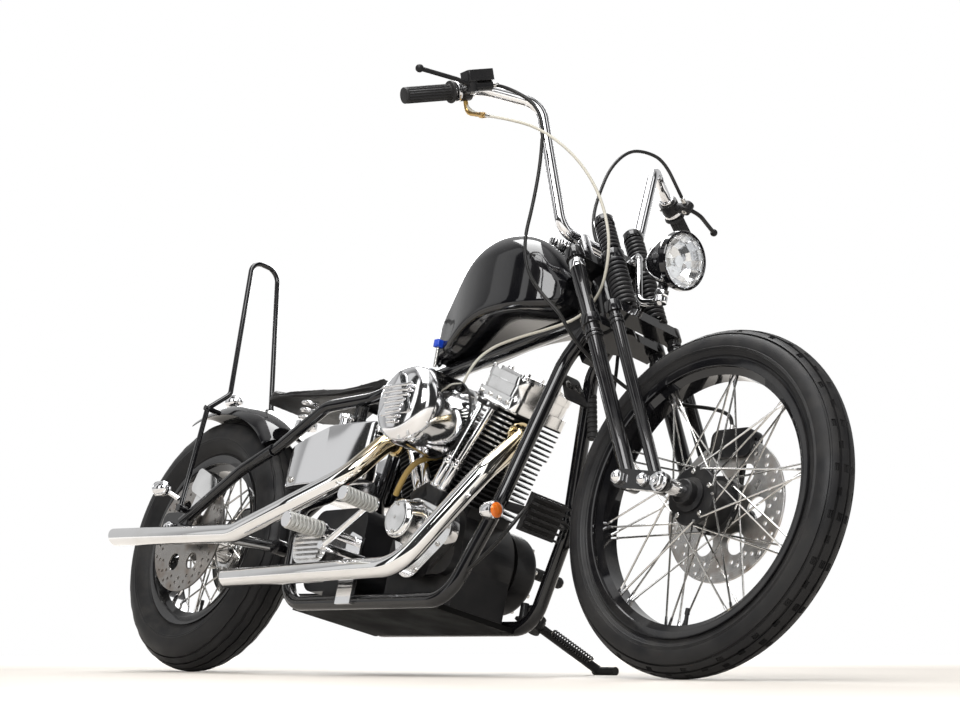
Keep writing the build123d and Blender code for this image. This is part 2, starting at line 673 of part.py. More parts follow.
# Frame: neck and backbone
backbone_start = fork_point(0, 0, NECK_UP + NECK_LENGTH * 0.48)
backbone_end = Vector(BACKBONE_END)
with BuildPart() as neck_backbone:
    add(rod(fork_point(0, 0, NECK_UP), fork_point(0, 0, neck_top), NECK_RADIUS))
    add(rod(backbone_start, backbone_end, BACKBONE_RADIUS))
    with BuildSketch(side_plane(Vector(0, 0, 0))):
        with BuildLine():
            low = fork_point(-6, 0, NECK_UP + 6)
            high = backbone_start + (backbone_end - backbone_start).normalized() * 120
            back = fork_point(-95, 0, NECK_UP - 20)
            Polyline((low.X, low.Z), (backbone_start.X, backbone_start.Z), (high.X, high.Z), (back.X, back.Z), close=True)
        make_face()
    extrude(amount=GUSSET_HALF, both=True)
    add(rod(fork_point(0, 0, NECK_UP - 1), fork_point(0, 0, neck_top + 1), STEM_RADIUS + SEAT_GAP), mode=Mode.SUBTRACT)
park(neck_backbone, "neck_backbone")

# Frame: one cradle each side, from the neck round under the engine to the seat
cradle_top = fork_point(-39.0, 0, NECK_UP + 31)
cradle_knee = fork_point(-124.0, 0, NECK_UP - 10)
CRADLE = (  # x, y outwards, z, bend radius
    (cradle_top.X, GUSSET_HALF + TUBE_RADIUS + SEAT_GAP, cradle_top.Z, 0),
    (cradle_knee.X, 42.0, cradle_knee.Z, 90),
    (1190.0, 100.0, 345.0, 120),
    (1105.0, CRADLE_Y, RAIL_Z, 80),
    (536.0, CRADLE_Y, RAIL_Z, 70),
    (520.0, CRADLE_Y + 2, 362.0, 40),
    (556.0, 64.0, 404.0, 40),
    (600.0, 66.0, 618.0, 0),
)
SEAT_RAIL = (  # x, y outwards, z, bend radius
    (782.0, BACKBONE_RADIUS + RAIL_RADIUS + SEAT_GAP, 694.0, 0),
    (660.0, 82.0, 626.0, 80),
    (495.0, 92.0, 618.0, 60),
    (348.0, 116.0, 512.0, 0),
)
split_face = Plane((FRAME_SPLIT_X, 0, 0), z_dir=(1, 0, 0))


def cradle_tubes(side, grow=0.0):
    """Cradle tube and seat rail of one side, grown to cut the pieces clamped on them."""
    pieces = []
    for rows, radius in ((CRADLE, TUBE_RADIUS), (SEAT_RAIL, RAIL_RADIUS)):
        route = [(x, side * y, z) for x, y, z, bend in rows]
        pieces.append(tube(route, radius + grow, [bend for x, y, z, bend in rows[1:-1]]))
    return pieces


for side, label in ((RIGHT, "cradle_right"), (LEFT, "cradle_left")):
    with BuildPart() as cradle:
        add(cradle_tubes(side))
        split(bisect_by=split_face.offset(SEAT_GAP), keep=Keep.TOP)
    park(cradle, label)
clamped = [*cradle_tubes(RIGHT, SEAT_GAP), *cradle_tubes(LEFT, SEAT_GAP)]

plate_floor = RAIL_Z - TUBE_RADIUS + 2
plate_middle = 815.0
with BuildPart() as crossmembers:
    with BuildSketch(Plane.XY.offset(plate_floor)):
        with Locations((plate_middle, 0)):
            Rectangle(490, 2 * CRADLE_Y)
    extrude(amount=CASE_FLOOR - SEAT_GAP - plate_floor)
    add(rod((PIVOT_X, -ARM_Y + ARM_RADIUS + 1, PIVOT_Z), (PIVOT_X, ARM_Y - ARM_RADIUS - 1, PIVOT_Z), 17))
    add(rod((600, -80, 622), (600, 80, 622), 12))
    add(clamped, mode=Mode.SUBTRACT)
park(crossmembers, "crossmembers")

# Swingarm carried at the pivot tube, its axle plates and the rear axle
PLATE_HALF = 7.0


def upper_arm(side, grow=0.0):
    """Upper tube of the swingarm on one side."""
    start = rear_axle + Vector(34, side * ARM_Y, 18)
    return tube([start, (246, side * 126, 470), (372, side * 119, 522)], ARM_RADIUS + grow, [120])


with BuildPart() as swingarm:
    for side in SIDES:
        add(upper_arm(side))
    split(bisect_by=split_face.offset(-SEAT_GAP), keep=Keep.BOTTOM)
    for side in SIDES:
        pivot_point = Vector(PIVOT_X, side * ARM_Y, PIVOT_Z)
        add(rod(pivot_point, rear_axle + Vector(34, side * ARM_Y, 0), ARM_RADIUS))
        with BuildSketch(Plane((0, side * (ARM_Y - PLATE_HALF), 0), x_dir=(1, 0, 0), z_dir=(0, -1, 0))):
            with Locations((rear_axle.X + 8, rear_axle.Z + 6)):
                RectangleRounded(110, 74, 20)
            with Locations((rear_axle.X, rear_axle.Z)):
                SlotOverall(60, 2 * AXLE_RADIUS + 2 * SEAT_GAP, mode=Mode.SUBTRACT)
        extrude(amount=-side * 2 * PLATE_HALF)
        boss_in = ARM_Y - ARM_RADIUS - 1 + SEAT_GAP
        with BuildSketch(Plane((PIVOT_X, side * boss_in, PIVOT_Z), x_dir=(1, 0, 0), z_dir=(0, side, 0))):
            Circle(18)
        extrude(amount=2 * ARM_RADIUS)
park(swingarm, "swingarm")

rear_end = ARM_Y + 26
with BuildPart() as rear_axle_bar:
    add(rod(rear_axle - Vector(0, rear_end, 0), rear_axle + Vector(0, rear_end, 0), AXLE_RADIUS, AXLE_BORE))
    for side in SIDES:
        plate_out = ARM_Y + PLATE_HALF + SEAT_GAP
        add(rod(rear_axle + Vector(0, side * plate_out, 0), rear_axle + Vector(0, side * (plate_out + 12), 0), 16, AXLE_BORE))
        spacer = rear_axle + Vector(0, side * (REAR.hub_half + SEAT_GAP), 0)
        add(rod(spacer, rear_axle + Vector(0, side * (ARM_Y - PLATE_HALF - SEAT_GAP), 0), AXLE_SPACER, AXLE_BORE))
park(rear_axle_bar, "rear_axle")

# Bobbed rear fender: an arched section turned about the rear axle
FENDER_BACK = 21.0
FENDER_FRONT = 46.0
fender_side = FENDER_RADIUS - 46.0
with BuildPart() as rear_fender:
    with BuildSketch(axle_plane(rear_axle)):
        with BuildLine():
            ThreePointArc((-FENDER_HALF, fender_side), (0, FENDER_RADIUS), (FENDER_HALF, fender_side))
            Line((FENDER_HALF, fender_side), (FENDER_HALF - FENDER_WALL, fender_side))
            ThreePointArc(
                (FENDER_HALF - FENDER_WALL, fender_side),
                (0, FENDER_RADIUS - FENDER_WALL),
                (FENDER_WALL - FENDER_HALF, fender_side),
            )
            Line((FENDER_WALL - FENDER_HALF, fender_side), (-FENDER_HALF, fender_side))
        make_face()
    revolve(axis=Axis(rear_axle, (0, 1, 0)), revolution_arc=FENDER_FRONT + FENDER_BACK)
rear_fender.part.move(Location(rear_axle) * Rot(0, -FENDER_BACK, 0) * Location(-rear_axle))
park(rear_fender, "rear_fender")

# Sissy bar: one bar from the right axle plate up over the hoop and down again
SISSY = (  # x, y outwards, z, bend radius
    (48.0, 154.0, 366.0, 0),
    (6.0, 118.0, rear_axle.Z + FENDER_RADIUS - 42, 24),
    (14.0, 66.0, rear_axle.Z + FENDER_RADIUS + 12, 24),
    (-66.0, HOOP_HALF, 1102.0, 36),
)
sissy_right = [(x, -y, z) for x, y, z, bend in SISSY]
sissy_left = [(x, y, z) for x, y, z, bend in reversed(SISSY)]
sissy_bends = [bend for x, y, z, bend in SISSY[1:]]
with BuildPart() as sissy_bar:
    add(tube([*sissy_right, *sissy_left], HOOP_RADIUS, [*sissy_bends, *reversed(sissy_bends)]))
    for side in SIDES:
        add(rod((48, side * plate_out, 374), (48, side * 162, 374), 9))
        stay_x, stay_y, stay_z, stay_bend = SISSY[1]
        add(rod((stay_x, side * (FENDER_HALF + SEAT_GAP), stay_z), (stay_x, side * (stay_y + 8), stay_z), 7))
        add(upper_arm(side, SEAT_GAP), mode=Mode.SUBTRACT)
park(sissy_bar, "sissy_bar")

# Lamps: tail lamp on the fender and bullet signals on stalks
bullet = ((0, -26), (8, -25), (15, -18), (19, -6), (19, 16), (16, 18), (12, 22), (0, 24))
tail_way = Vector(-60, 0, 361).normalized()
tail_base = rear_axle + tail_way * (FENDER_RADIUS + SEAT_GAP)
with BuildPart() as tail_lamp:
    add(turned(bullet, tail_base + tail_way * 28, (-1, 0, 0.1)))
    add(rod(tail_base, tail_base + tail_way * 20, 9))
park(tail_lamp, "tail_lamp")

sissy_leg = tube([*sissy_right, *sissy_left], HOOP_RADIUS + SEAT_GAP, [*sissy_bends, *reversed(sissy_bends)])
with BuildPart() as rear_signals:
    for side in SIDES:
        add(turned(bullet, (6, side * 192, 416), (-1, 0, 0)))
        add(rod((43, side * 161, 396), (6, side * 186, 416), 6))
    add(sissy_leg, mode=Mode.SUBTRACT)
park(rear_signals, "rear_signals")

with BuildPart() as front_signals:
    for side in SIDES:
        add(turned(bullet, (1226, side * 152, 305), (1, 0, 0)))
        add(rod((1180, side * 104, 312), (1220, side * 146, 305), 6))
    add(clamped, mode=Mode.SUBTRACT)
park(front_signals, "front_signals")

# Fuel tank: side outline and plan outline meet, with a tunnel over the backbone
backbone_slope = atan2(backbone_start.Z - backbone_end.Z, backbone_start.X - backbone_end.X)
TANK = (  # x, half width, floor, top, upper corner radius
    (800.0, 36.0, 704.0, 778.0, 24.0),
    (846.0, 62.0, 719.0, 862.0, 38.0),
    (905.0, 85.0, 740.0, 932.0, 52.0),
    (985.0, 106.0, 770.0, 978.0, 66.0),
    (1065.0, TANK_WIDTH / 2, 779.0, 978.0, 72.0),
    (1135.0, 109.0, 779.0, 950.0, 66.0),
    (1186.0, 86.0, 783.0, 904.0, 52.0),
    (1216.0, 54.0, 798.0, 866.0, 30.0),
)
TANK_FLOOR_CORNER = 18.0
with BuildPart() as fuel_tank:
    for x, half, floor, top, corner in TANK:
        with BuildSketch(Plane((x, 0, 0), x_dir=(0, 1, 0), z_dir=(1, 0, 0))):
            with BuildLine():
                FilletPolyline(
                    (-half, floor), (half, floor), (half, top), (-half, top),
                    radius=[TANK_FLOOR_CORNER, TANK_FLOOR_CORNER, corner, corner], close=True,
                )
            make_face()
    loft()
    tunnel_half = BACKBONE_RADIUS + 4
    roof = Vector(0, 0, BACKBONE_RADIUS / cos(backbone_slope) + SEAT_GAP)
    with BuildSketch(side_plane((0, tunnel_half, 0))):
        with BuildLine():
            ahead_end = backbone_start + roof
            back_end = backbone_end + (backbone_end - backbone_start).normalized() * 60 + roof
            Polyline(
                (ahead_end.X, ahead_end.Z), (back_end.X, back_end.Z), (back_end.X, 600), (ahead_end.X, 600),
                close=True,
            )
        make_face()
    extrude(amount=2 * tunnel_half, mode=Mode.SUBTRACT)
    cap_at = Vector(1116, 0, 940)
    add(rod(cap_at, cap_at + Vector(0.22, 0, 0.97) * 32, 30))
park(fuel_tank, "fuel_tank")

# Solo seat on its nose pivot and two coil springs
seat_base = rear_axle.Z + sqrt((FENDER_RADIUS + SEAT_OVER_FENDER) ** 2 - SEAT_BACK**2)
SEAT_SIDE = (  # x, above the base, corner radius
    (SEAT_BACK + 8, 0.0, 12.0),
    (SEAT_BACK, 44.0, 16.0),
    (300.0, 22.0, 130.0),
    (540.0, 32.0, 90.0),
    (640.0, 44.0, 14.0),
    (636.0, 12.0, 14.0),
    (420.0, 0.0, 100.0),
)
SEAT_PLAN = (  # x, half width, corner radius
    (SEAT_BACK, 74.0, 50.0),
    (262.0, SEAT_HALF, 60.0),
    (356.0, SEAT_HALF, 110.0),
    (490.0, 60.0, 80.0),
    (644.0, 46.0, 24.0),
)
seat_right = [(x, -y) for x, y, bend in SEAT_PLAN]
seat_left = [(x, y) for x, y, bend in reversed(SEAT_PLAN)]
seat_bends = [bend for x, y, bend in SEAT_PLAN]
with BuildPart() as seat:
    with BuildSketch(side_plane((0, 0, 0))):
        with BuildLine():
            FilletPolyline(
                *[(x, seat_base + above) for x, above, bend in SEAT_SIDE],
                radius=[bend for x, above, bend in SEAT_SIDE],
                close=True,
            )
        make_face()
    extrude(amount=SEAT_HALF + 20, both=True)
    with BuildSketch(Plane.XY.offset(seat_base - 50)):
        with BuildLine():
            FilletPolyline(*seat_right, *seat_left, radius=[*seat_bends, *reversed(seat_bends)], close=True)
        make_face()
    extrude(amount=200, mode=Mode.INTERSECT)
park(seat, "seat")

with BuildPart() as seat_springs:
    for side in SIDES:
        base = Vector(400, side * 76, seat_base - 62)
        add(rod(base - Vector(0, 0, 14), base, 26))
        add(rod(base + Vector(0, side * 10, -7), (415, side * 98, 574), 8))
        add(coil(base + Vector(0, 0, 3), (0, 0, 1), 20, 4.0, 3, 55))
    add(rod((600, 0, 622), (600, 0, seat_base + 4), 14))
    add(rod((600, -40, 622), (600, 40, 622), 12 + SEAT_GAP), mode=Mode.SUBTRACT)
    add(clamped, mode=Mode.SUBTRACT)
park(seat_springs, "seat_springs")

# Oil tank: a horseshoe open to the front
OIL = namedtuple("OilTank", "back front half inner floor roof")(414.0, 728.0, 125.0, 81.8, 415.0, 556.0)
with BuildPart() as oil_tank:
    with BuildSketch(Plane.XY.offset(OIL.floor)):
        with BuildLine():
            FilletPolyline(
                (OIL.front, -OIL.half), (OIL.back, -OIL.half), (OIL.back, OIL.half), (OIL.front, OIL.half),
                (OIL.front, OIL.inner), (OIL.back + 90, OIL.inner),
                (OIL.back + 90, -OIL.inner), (OIL.front, -OIL.inner),
                radius=[16, 60, 60, 16, 16, 30, 30, 16], close=True,
            )
        make_face()
    extrude(amount=OIL.roof - OIL.floor)
    fillet(oil_tank.edges().filter_by(Plane.XY), 10)
    with BuildSketch(side_plane((0, OIL.half + 1, 0))):
        with BuildLine():
            Polyline(
                (OIL.back - 1, OIL.roof - 44), (OIL.back + 180, OIL.roof + 1), (OIL.back - 1, OIL.roof + 1), close=True
            )
        make_face()
    extrude(amount=2 * OIL.half + 2, mode=Mode.SUBTRACT)
    add(rod((600, -106, OIL.roof - 2), (600, -106, OIL.roof + 24), 16))
park(oil_tank, "oil_tank")

# Crankcase with the V decks
crank = Vector(CRANK)
cylinders = (("front", V_HALF), ("rear", -V_HALF))


def cylinder_plane(tilt, along):
    """Plane square to a cylinder at a distance from the crankshaft."""
    lean = radians(tilt)
    up = Vector(sin(lean), 0, cos(lean))
    return Plane(crank + up * along, x_dir=(cos(lean), 0, -sin(lean)), z_dir=up)


with BuildPart() as crankcase:
    with BuildSketch(side_plane(crank)):
        Circle(CASE_RADIUS)
        with Locations((2, (CASE_FLOOR - crank.Z) / 2)):
            Rectangle(230, crank.Z - CASE_FLOOR)
    extrude(amount=CASE_HALF, both=True)
    for name, tilt in cylinders:
        with BuildSketch(cylinder_plane(tilt, 40)):
            RectangleRounded(2 * DECK * tan(radians(V_HALF)) - 2, 2 * CASE_HALF - 4, 20)
        extrude(amount=DECK - SEAT_GAP - 40)
    with BuildSketch(Plane(crank + Vector(0, CASE_HALF, 0), x_dir=(1, 0, 0), z_dir=(0, 1, 0))):
        Circle(84)
    extrude(amount=PRIMARY_IN - SEAT_GAP - CASE_HALF)
    with BuildSketch(Plane(crank - Vector(0, CASE_HALF, 0), x_dir=(1, 0, 0), z_dir=(0, -1, 0))):
        with Locations((20, 20)):
            RectangleRounded(200, 150, 40)
    extrude(amount=-GEARCASE_OUT - CASE_HALF - 24)
park(crankcase, "crankcase")

cam = crank + Vector(-8, 0, CAM_UP)
gear_in = -GEARCASE_OUT - 24 + SEAT_GAP
with BuildPart() as cam_cover:
    with BuildSketch(Plane((crank.X, -gear_in, crank.Z), x_dir=(1, 0, 0), z_dir=(0, -1, 0))):
        with BuildSketch() as cover:
            with Locations((-8, CAM_UP)):
                Circle(56)
            with Locations((84, 34)):
                Circle(42)
            with Locations((10, -22)):
                Circle(46)
            make_hull()
    extrude(amount=24)
    add(
        turned(
            ((0, 0), (54, 0), (50, 12), (46, 30), (43, 44), (36, 50), (0, 52)),
            (cam.X, -gear_in - 20, cam.Z),
            (0, -1, 0),
        )
    )
park(cam_cover, "cam_cover")

# Finned cylinders and heads, and the rocker boxes above them
for name, tilt in cylinders:
    with BuildPart() as cylinder:
        with BuildSketch(cylinder_plane(tilt, DECK)):
            Circle(BARREL_RADIUS)
        extrude(amount=BARREL_LENGTH + HEAD_LENGTH)
        fins = int((BARREL_LENGTH + HEAD_LENGTH - FIN_THICK) / FIN_PITCH) + 1
        for number in range(fins):
            along = number * FIN_PITCH
            length, width = HEAD_FIN if along > BARREL_LENGTH else BARREL_FIN
            with BuildSketch(cylinder_plane(tilt, DECK + along)):
                RectangleRounded(length, width, 26)
            extrude(amount=FIN_THICK)
        v_face = Plane((crank.X, 0, 0), z_dir=(1 if tilt > 0 else -1, 0, 0))
        split(bisect_by=v_face.offset(SEAT_GAP), keep=Keep.TOP)
    park(cylinder, f"{name}_cylinder")

    head_top = DECK + BARREL_LENGTH + HEAD_LENGTH + SEAT_GAP
    with BuildPart() as rocker_box:
        for along, thick, length, width, corner in (
            (0.0, 26.0, 150.0, 160.0, 22.0),
            (26.0, 28.0, 138.0, 152.0, 26.0),
            (54.0, 18.0, 142.0, 156.0, 28.0),
            (72.0, 8.0, 112.0, 128.0, 24.0),
        ):
            with BuildSketch(cylinder_plane(tilt, head_top + along)):
                RectangleRounded(length, width, corner)
            extrude(amount=thick)
    park(rocker_box, f"{name}_rocker_box")

# Pushrod tubes standing on their lifter blocks, right of the cylinders
PUSHROD_Y = -92.0
pushrod_pieces = []
for name, tilt in cylinders:
    for step in (-13, 15):
        foot_plane = cylinder_plane(tilt, DECK + 4)
        low = foot_plane.from_local_coords((-tilt * 1.3 + step, PUSHROD_Y, 0))
        head_plane = cylinder_plane(tilt, DECK + BARREL_LENGTH + HEAD_LENGTH)
        high = head_plane.from_local_coords((step * 1.6, PUSHROD_Y + 4, 0))
        pushrod_pieces.append(rod(low, high, 8))
        pushrod_pieces.append(rod(low, low + (high - low).normalized() * 60, 11))
with BuildPart() as pushrod_tubes:
    add(pushrod_pieces)
park(pushrod_tubes, "pushrod_tubes")

# Carburettor between the heads, and the round air cleaner outside it
AIR = Vector(950.0, -101.0, 543.0)
MANIFOLD_UP = 270.0
with BuildPart() as carburettor:
    add(rod((AIR.X, 20, AIR.Z), (AIR.X, AIR.Y - 2, AIR.Z), 24))
    add(rod((AIR.X, -78, AIR.Z - 52), (AIR.X, -78, AIR.Z + 44), 20))
    for name, tilt in cylinders:
        head_side = cylinder_plane(tilt, MANIFOLD_UP)
        inward = head_side.x_dir * (-1 if tilt > 0 else 1)
        start = head_side.origin + inward * (HEAD_FIN[0] / 2 + SEAT_GAP) - Vector(0, 10, 0)
        add(rod(start, start + inward * 40, 18))
park(carburettor, "carburettor")

with BuildPart() as air_cleaner:
    add(
        turned(
            ((0, 0), (90, 0), (91, 6), (91, 88), (88, 104), (80, 120), (68, 130), (62, 136), (40, 140), (0, 141)),
            AIR + Vector(0, -2 - SEAT_GAP, 0),
            (0, -1, 0),
        )
    )
park(air_cleaner, "air_cleaner")

# Exhaust pipes with slash-cut ends
front_port = cylinder_plane(V_HALF, 316).from_local_coords((HEAD_FIN[0] / 2 + SEAT_GAP, -44, 0))
rear_port = cylinder_plane(-V_HALF, 292).from_local_coords((-50, -HEAD_FIN[1] / 2 - SEAT_GAP, 0))
FRONT_PIPE = (  # x, y, z, bend radius
    (*front_port, 0),
    (*(front_port + cylinder_plane(V_HALF, 0).x_dir * 26), 24),
    (1150.0, -126.0, 400.0, 60),
    (1032.0, -207.0, 180.0, 90),
    (395.0, -207.0, 170.0, 0),
)
REAR_PIPE = (
    (*rear_port, 0),
    (*(rear_port - Vector(0, 34, 0)), 40),
    (752.0, -178.0, 404.0, 90),
    (597.0, -207.0, 337.0, 120),
    (395.0, -207.0, 278.0, 120),
    (-150.0, -207.0, 292.0, 0),
)
SLASH = 22.0
for name, rows in (("front", FRONT_PIPE), ("rear", REAR_PIPE)):
    route = [(x, y, z) for x, y, z, bend in rows]
    end = Vector(route[-1])
    with BuildPart() as pipe:
        add(tube(route, PIPE_RADIUS, [bend for x, y, z, bend in rows[1:-1]], PIPE_BORE))
        with BuildSketch(Plane(end, x_dir=(0, 1, 0), z_dir=(-1, 0, 0))):
            Rectangle(120, 120)
        extrude(amount=80, mode=Mode.SUBTRACT)
        with BuildSketch(side_plane(end + Vector(0, 60, 0))):
            with BuildLine():
                Polyline((-1, -40), (tan(radians(SLASH)) * 60, -40), (-1, 40), close=True)
            make_face()
        extrude(amount=120, mode=Mode.SUBTRACT)
        flange = Vector(route[0])
        way = (Vector(route[1]) - flange).normalized()
        add(rod(flange + way * 2, flange + way * 10, PIPE_RADIUS + 5, PIPE_RADIUS))
    park(pipe, f"{name}_exhaust")

# Gearbox with its ribbed side cover, and the primary cover on the left
gearbox_right = -104.0
with BuildPart() as gearbox:
    with BuildSketch(side_plane(gearbox_axis)):
        RectangleRounded(196, 190, 34)
        with Locations((30, (CASE_FLOOR - gearbox_axis.Z) / 2)):
            Rectangle(90, gearbox_axis.Z - CASE_FLOOR)
    extrude(amount=-gearbox_right)
    extrude(gearbox.faces().sort_by(Axis.Y)[-1], amount=BELT_Y - BELT_WIDTH / 2 - 8)
    with BuildSketch(Plane(gearbox_axis + Vector(0, 60, 0), x_dir=(1, 0, 0), z_dir=(0, 1, 0))):
        Circle(GEARBOX_PULLEY_RADIUS - SEAT_GAP)
    extrude(amount=PRIMARY_IN - 60 - SEAT_GAP)
park(gearbox, "gearbox")

with BuildPart() as gearbox_cover:
    with BuildSketch(side_plane(gearbox_axis + Vector(-50, gearbox_right - SEAT_GAP, 6))):
        RectangleRounded(124, 88, 30)
    extrude(amount=34)
    for row in range(7):
        with BuildSketch(side_plane(gearbox_axis + Vector(-50, gearbox_right - 34, 6 + 11 * (row - 3)))):
            SlotOverall(110 - abs(row - 3) * 8, 5)
        extrude(amount=10)
park(gearbox_cover, "gearbox_cover")

with BuildPart() as primary_cover:
    with BuildSketch(Plane((0, PRIMARY_IN, 0), x_dir=(-1, 0, 0), z_dir=(0, 1, 0))):
        with BuildSketch() as shell:
            with Locations((-crank.X, crank.Z + 12)):
                Circle(PRIMARY_FRONT_RADIUS)
            with Locations((-gearbox_axis.X, gearbox_axis.Z + 4)):
                Circle(PRIMARY_REAR_RADIUS)
            make_hull()
    extrude(amount=PRIMARY_OUT - PRIMARY_IN)
    fillet(primary_cover.faces().sort_by(Axis.Y)[-1].edges(), 18)
    with BuildSketch(Plane((gearbox_axis.X, PRIMARY_OUT, gearbox_axis.Z + 4), x_dir=(1, 0, 0), z_dir=(0, 1, 0))):
        Circle(70)
    extrude(amount=8)
park(primary_cover, "primary_cover")

# Foot controls
with BuildPart() as right_controls:
    with BuildSketch(side_plane((784, -CRADLE_Y - TUBE_RADIUS - SEAT_GAP, 0))):
        with BuildLine():
            Polyline((-26, RAIL_Z - 10), (26, RAIL_Z - 10), (26, 268), (-12, 282), (-26, 268), close=True)
        make_face()
    extrude(amount=10)
    add(rod((782, -130, 261), (782, -246, 259), 10))
    add(rod((782, -232, 259), (780, -334, 257), 17))
    add(rod((806, -132, 222), (806, -252, 222), 9))
    add(rod((806, -244, 222), (956, -252, 303), 7))
    add(rod((956, -240, 304), (957, -330, 306), 15))
park(right_controls, "right_controls")

with BuildPart() as left_controls:
    add(rod((782, PRIMARY_OUT + SEAT_GAP, 262), (782, 246, 260), 10))
    add(rod((782, 236, 260), (780, 336, 257), 17))
    add(rod((880, PRIMARY_OUT + SEAT_GAP, 262), (880, 216, 262), 9))
    add(rod((880, 210, 262), (962, 214, 285), 6))
    add(rod((962, 208, 285), (962, 312, 283), 11))
park(left_controls, "left_controls")

# Finned regulator between the downtubes
with BuildPart() as regulator:
    with BuildSketch(Plane((1206, 0, 338), x_dir=(0, 1, 0), z_dir=(0.94, 0, -0.34))):
        Rectangle(96, 84)
    extrude(amount=14)
    for fin in range(6):
        with BuildSketch(Plane((1206, 0, 338), x_dir=(0, 1, 0), z_dir=(0.94, 0, -0.34)).offset(14)):
            with Locations((0, -36 + fin * 14.4)):
                Rectangle(92, 5)
        extrude(amount=20)
    for side in SIDES:
        add(rod((1206, side * 40, 338), (1186, side * 100, 338), 9))
    add(clamped, mode=Mode.SUBTRACT)
park(regulator, "regulator")

# Side stand: a leg that swings about a tilted pin, and its bracket on the left rail
stand_axis = Vector(STAND_AXIS).normalized()
stand_pivot = Vector(STAND_PIVOT)
down_out = Vector(1, 0, 0).cross(stand_axis) * -1
ahead_turn = radians(STAND_AHEAD)
stand_way = down_out * cos(ahead_turn) + Vector(1, 0, 0) * sin(ahead_turn)


def height(point):
    """Height above the ground of a point once the motorcycle is parked."""
    return (PARKED * Location(point)).position.Z


slope = (height(stand_pivot + stand_way * 100) - height(stand_pivot)) / 100
foot_radius = 9.0
stand_length = (height(stand_pivot) - foot_radius) / -slope
stand_toe = stand_pivot + stand_way * stand_length
with BuildPart() as side_stand:
    add(rod(stand_pivot - stand_axis * STAND_BOSS, stand_pivot + stand_axis * STAND_BOSS, 19))
    add(rod(stand_pivot, stand_toe, STAND_RADIUS))
    add(rod(stand_toe - Vector(14, 0, 0), stand_toe + Vector(52, 0, 0), foot_radius))
    add(rod(stand_pivot - stand_axis * 30, stand_pivot + stand_axis * 30, 7 + SEAT_GAP), mode=Mode.SUBTRACT)
park(side_stand, "side_stand")

with BuildPart() as stand_bracket:
    add(rod(stand_pivot - stand_axis * 18, stand_pivot + stand_axis * 18, 7))
    for end in (RIGHT, LEFT):
        near = stand_pivot + stand_axis * (end * (STAND_BOSS + SEAT_GAP))
        add(rod(near, near + stand_axis * (end * 7), 17))
        with BuildSketch(Plane(near, x_dir=(1, 0, 0), z_dir=stand_axis)):
            with Locations((0, -22)):
                Rectangle(34, 44)
        extrude(amount=end * 7)
    add(rod((stand_pivot.X, CRADLE_Y, RAIL_Z), (stand_pivot.X, CRADLE_Y, stand_pivot.Z + 36), 9))
    add(clamped, mode=Mode.SUBTRACT)
park(stand_bracket, "stand_bracket")

# Control cables and the front brake hose
clamp, pivot, way, ahead, lift = right_control
throttle_exit = clamp + way * 22 - lift * (GRIP_RADIUS + 4 + SEAT_GAP)
throttle_route = [throttle_exit, throttle_exit - lift * 26]
for point in (
    (1205, -292, 1128), (1257, -236, 1119), (1317, -178, 1069), (1360, -136, 998), (1383, -112, 924), (1385, -98, 868),
    (1366, -80, 820), (1339, -64, 794), (1311, -58, 773), (1276, -56, 750), (1209, -60, 737), (1114, -66, 726),
    (1029, -76, 706), (978, -82, 660), (962, -84, 592),
):
    throttle_route.append(Vector(point))
hose_top = FRONT_DISC_RADIUS - 14 + FRONT_CALIPER_HEIGHT / 2 + 2 * SEAT_GAP
hose_end = Vector(FRONT_HOSE_X, FRONT_DISC_Y + 10, front_axle.Z + hose_top)
hose_exit = pivot + way * (MASTER_LENGTH + SEAT_GAP)
hose_route = [hose_exit, hose_exit + way * 30]
for ahead_of, left_of, up_to in (
    (104, -208, 950), (52, -190, 848), (0, -186, 759), (-46, -184, 694), (-63, -176, 621), (-51, -156, 555),
    (-38, -130, 512), (-44, -104, 470), (-46, -60, 430), (-42, -10, 404), (-34, 36, 372), (-8, 60, 336), (34, 64, 310),
):
    hose_route.append(fork_point(ahead_of, left_of, up_to))
for point in ((1512, 66, 574), (1562, 67, 566), (1606, 69, 556), hose_end + Vector(0, 0, 32), hose_end):
    hose_route.append(Vector(point))
clamp, pivot, way, ahead, lift = left_control
clutch_exit = pivot + way * (13 + SEAT_GAP)
clutch_route = [clutch_exit, clutch_exit + way * 30]
for point in (
    (1122, 262, 1284), (1107, 214, 1290), (1098, 166, 1273), (1094, 124, 1213), (1104, 96, 1134), (1114, 80, 1070),
    (1136, 76, 1012), (1172, 84, 958), (1206, 100, 890), (1226, 112, 806), (1236, 116, 722), (1240, 116, 638),
    (1236, 122, 554), (1214, 132, 478), (1170, 142, 414), (1112, 148, 372), (1052, 148, 346),
):
    clutch_route.append(Vector(point))
with BuildPart() as control_cables:
    add(tube(throttle_route, 3.2, easy_bends(throttle_route)))
    add(tube(clutch_route, 4.0, easy_bends(clutch_route)))
park(control_cables, "control_cables")

with BuildPart() as brake_hose:
    add(tube(hose_route, 4.0, easy_bends(hose_route)))
park(brake_hose, "brake_hose")

# Joint places and axes of the parked motorcycle
for label, point, axis in (
    ("steering", fork_point(0, 0, NECK_UP), FORK_UP),
    ("front_wheel_spin", front_axle, Vector(0, 1, 0)),
    ("rear_wheel_spin", rear_axle, Vector(0, 1, 0)),
    ("stand_swing", stand_pivot, stand_axis),
):
    here = (PARKED * Location(point)).position
    there = (PARKED * Location(point + axis)).position
    print(label, [round(v, 3) for v in here], [round(v, 6) for v in there - here])
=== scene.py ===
"""Looks of a chopper motorcycle with a springer fork, parked on its side stand.

Every piece is modelled upright, in millimetres, X forward, Y to the rider's left, Z up, from the ground
under the rear axle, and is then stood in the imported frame, in metres, with the whole motorcycle.
"""

import json
import logging
import math
from collections.abc import Iterable, Sequence
from dataclasses import dataclass, replace
from enum import Enum

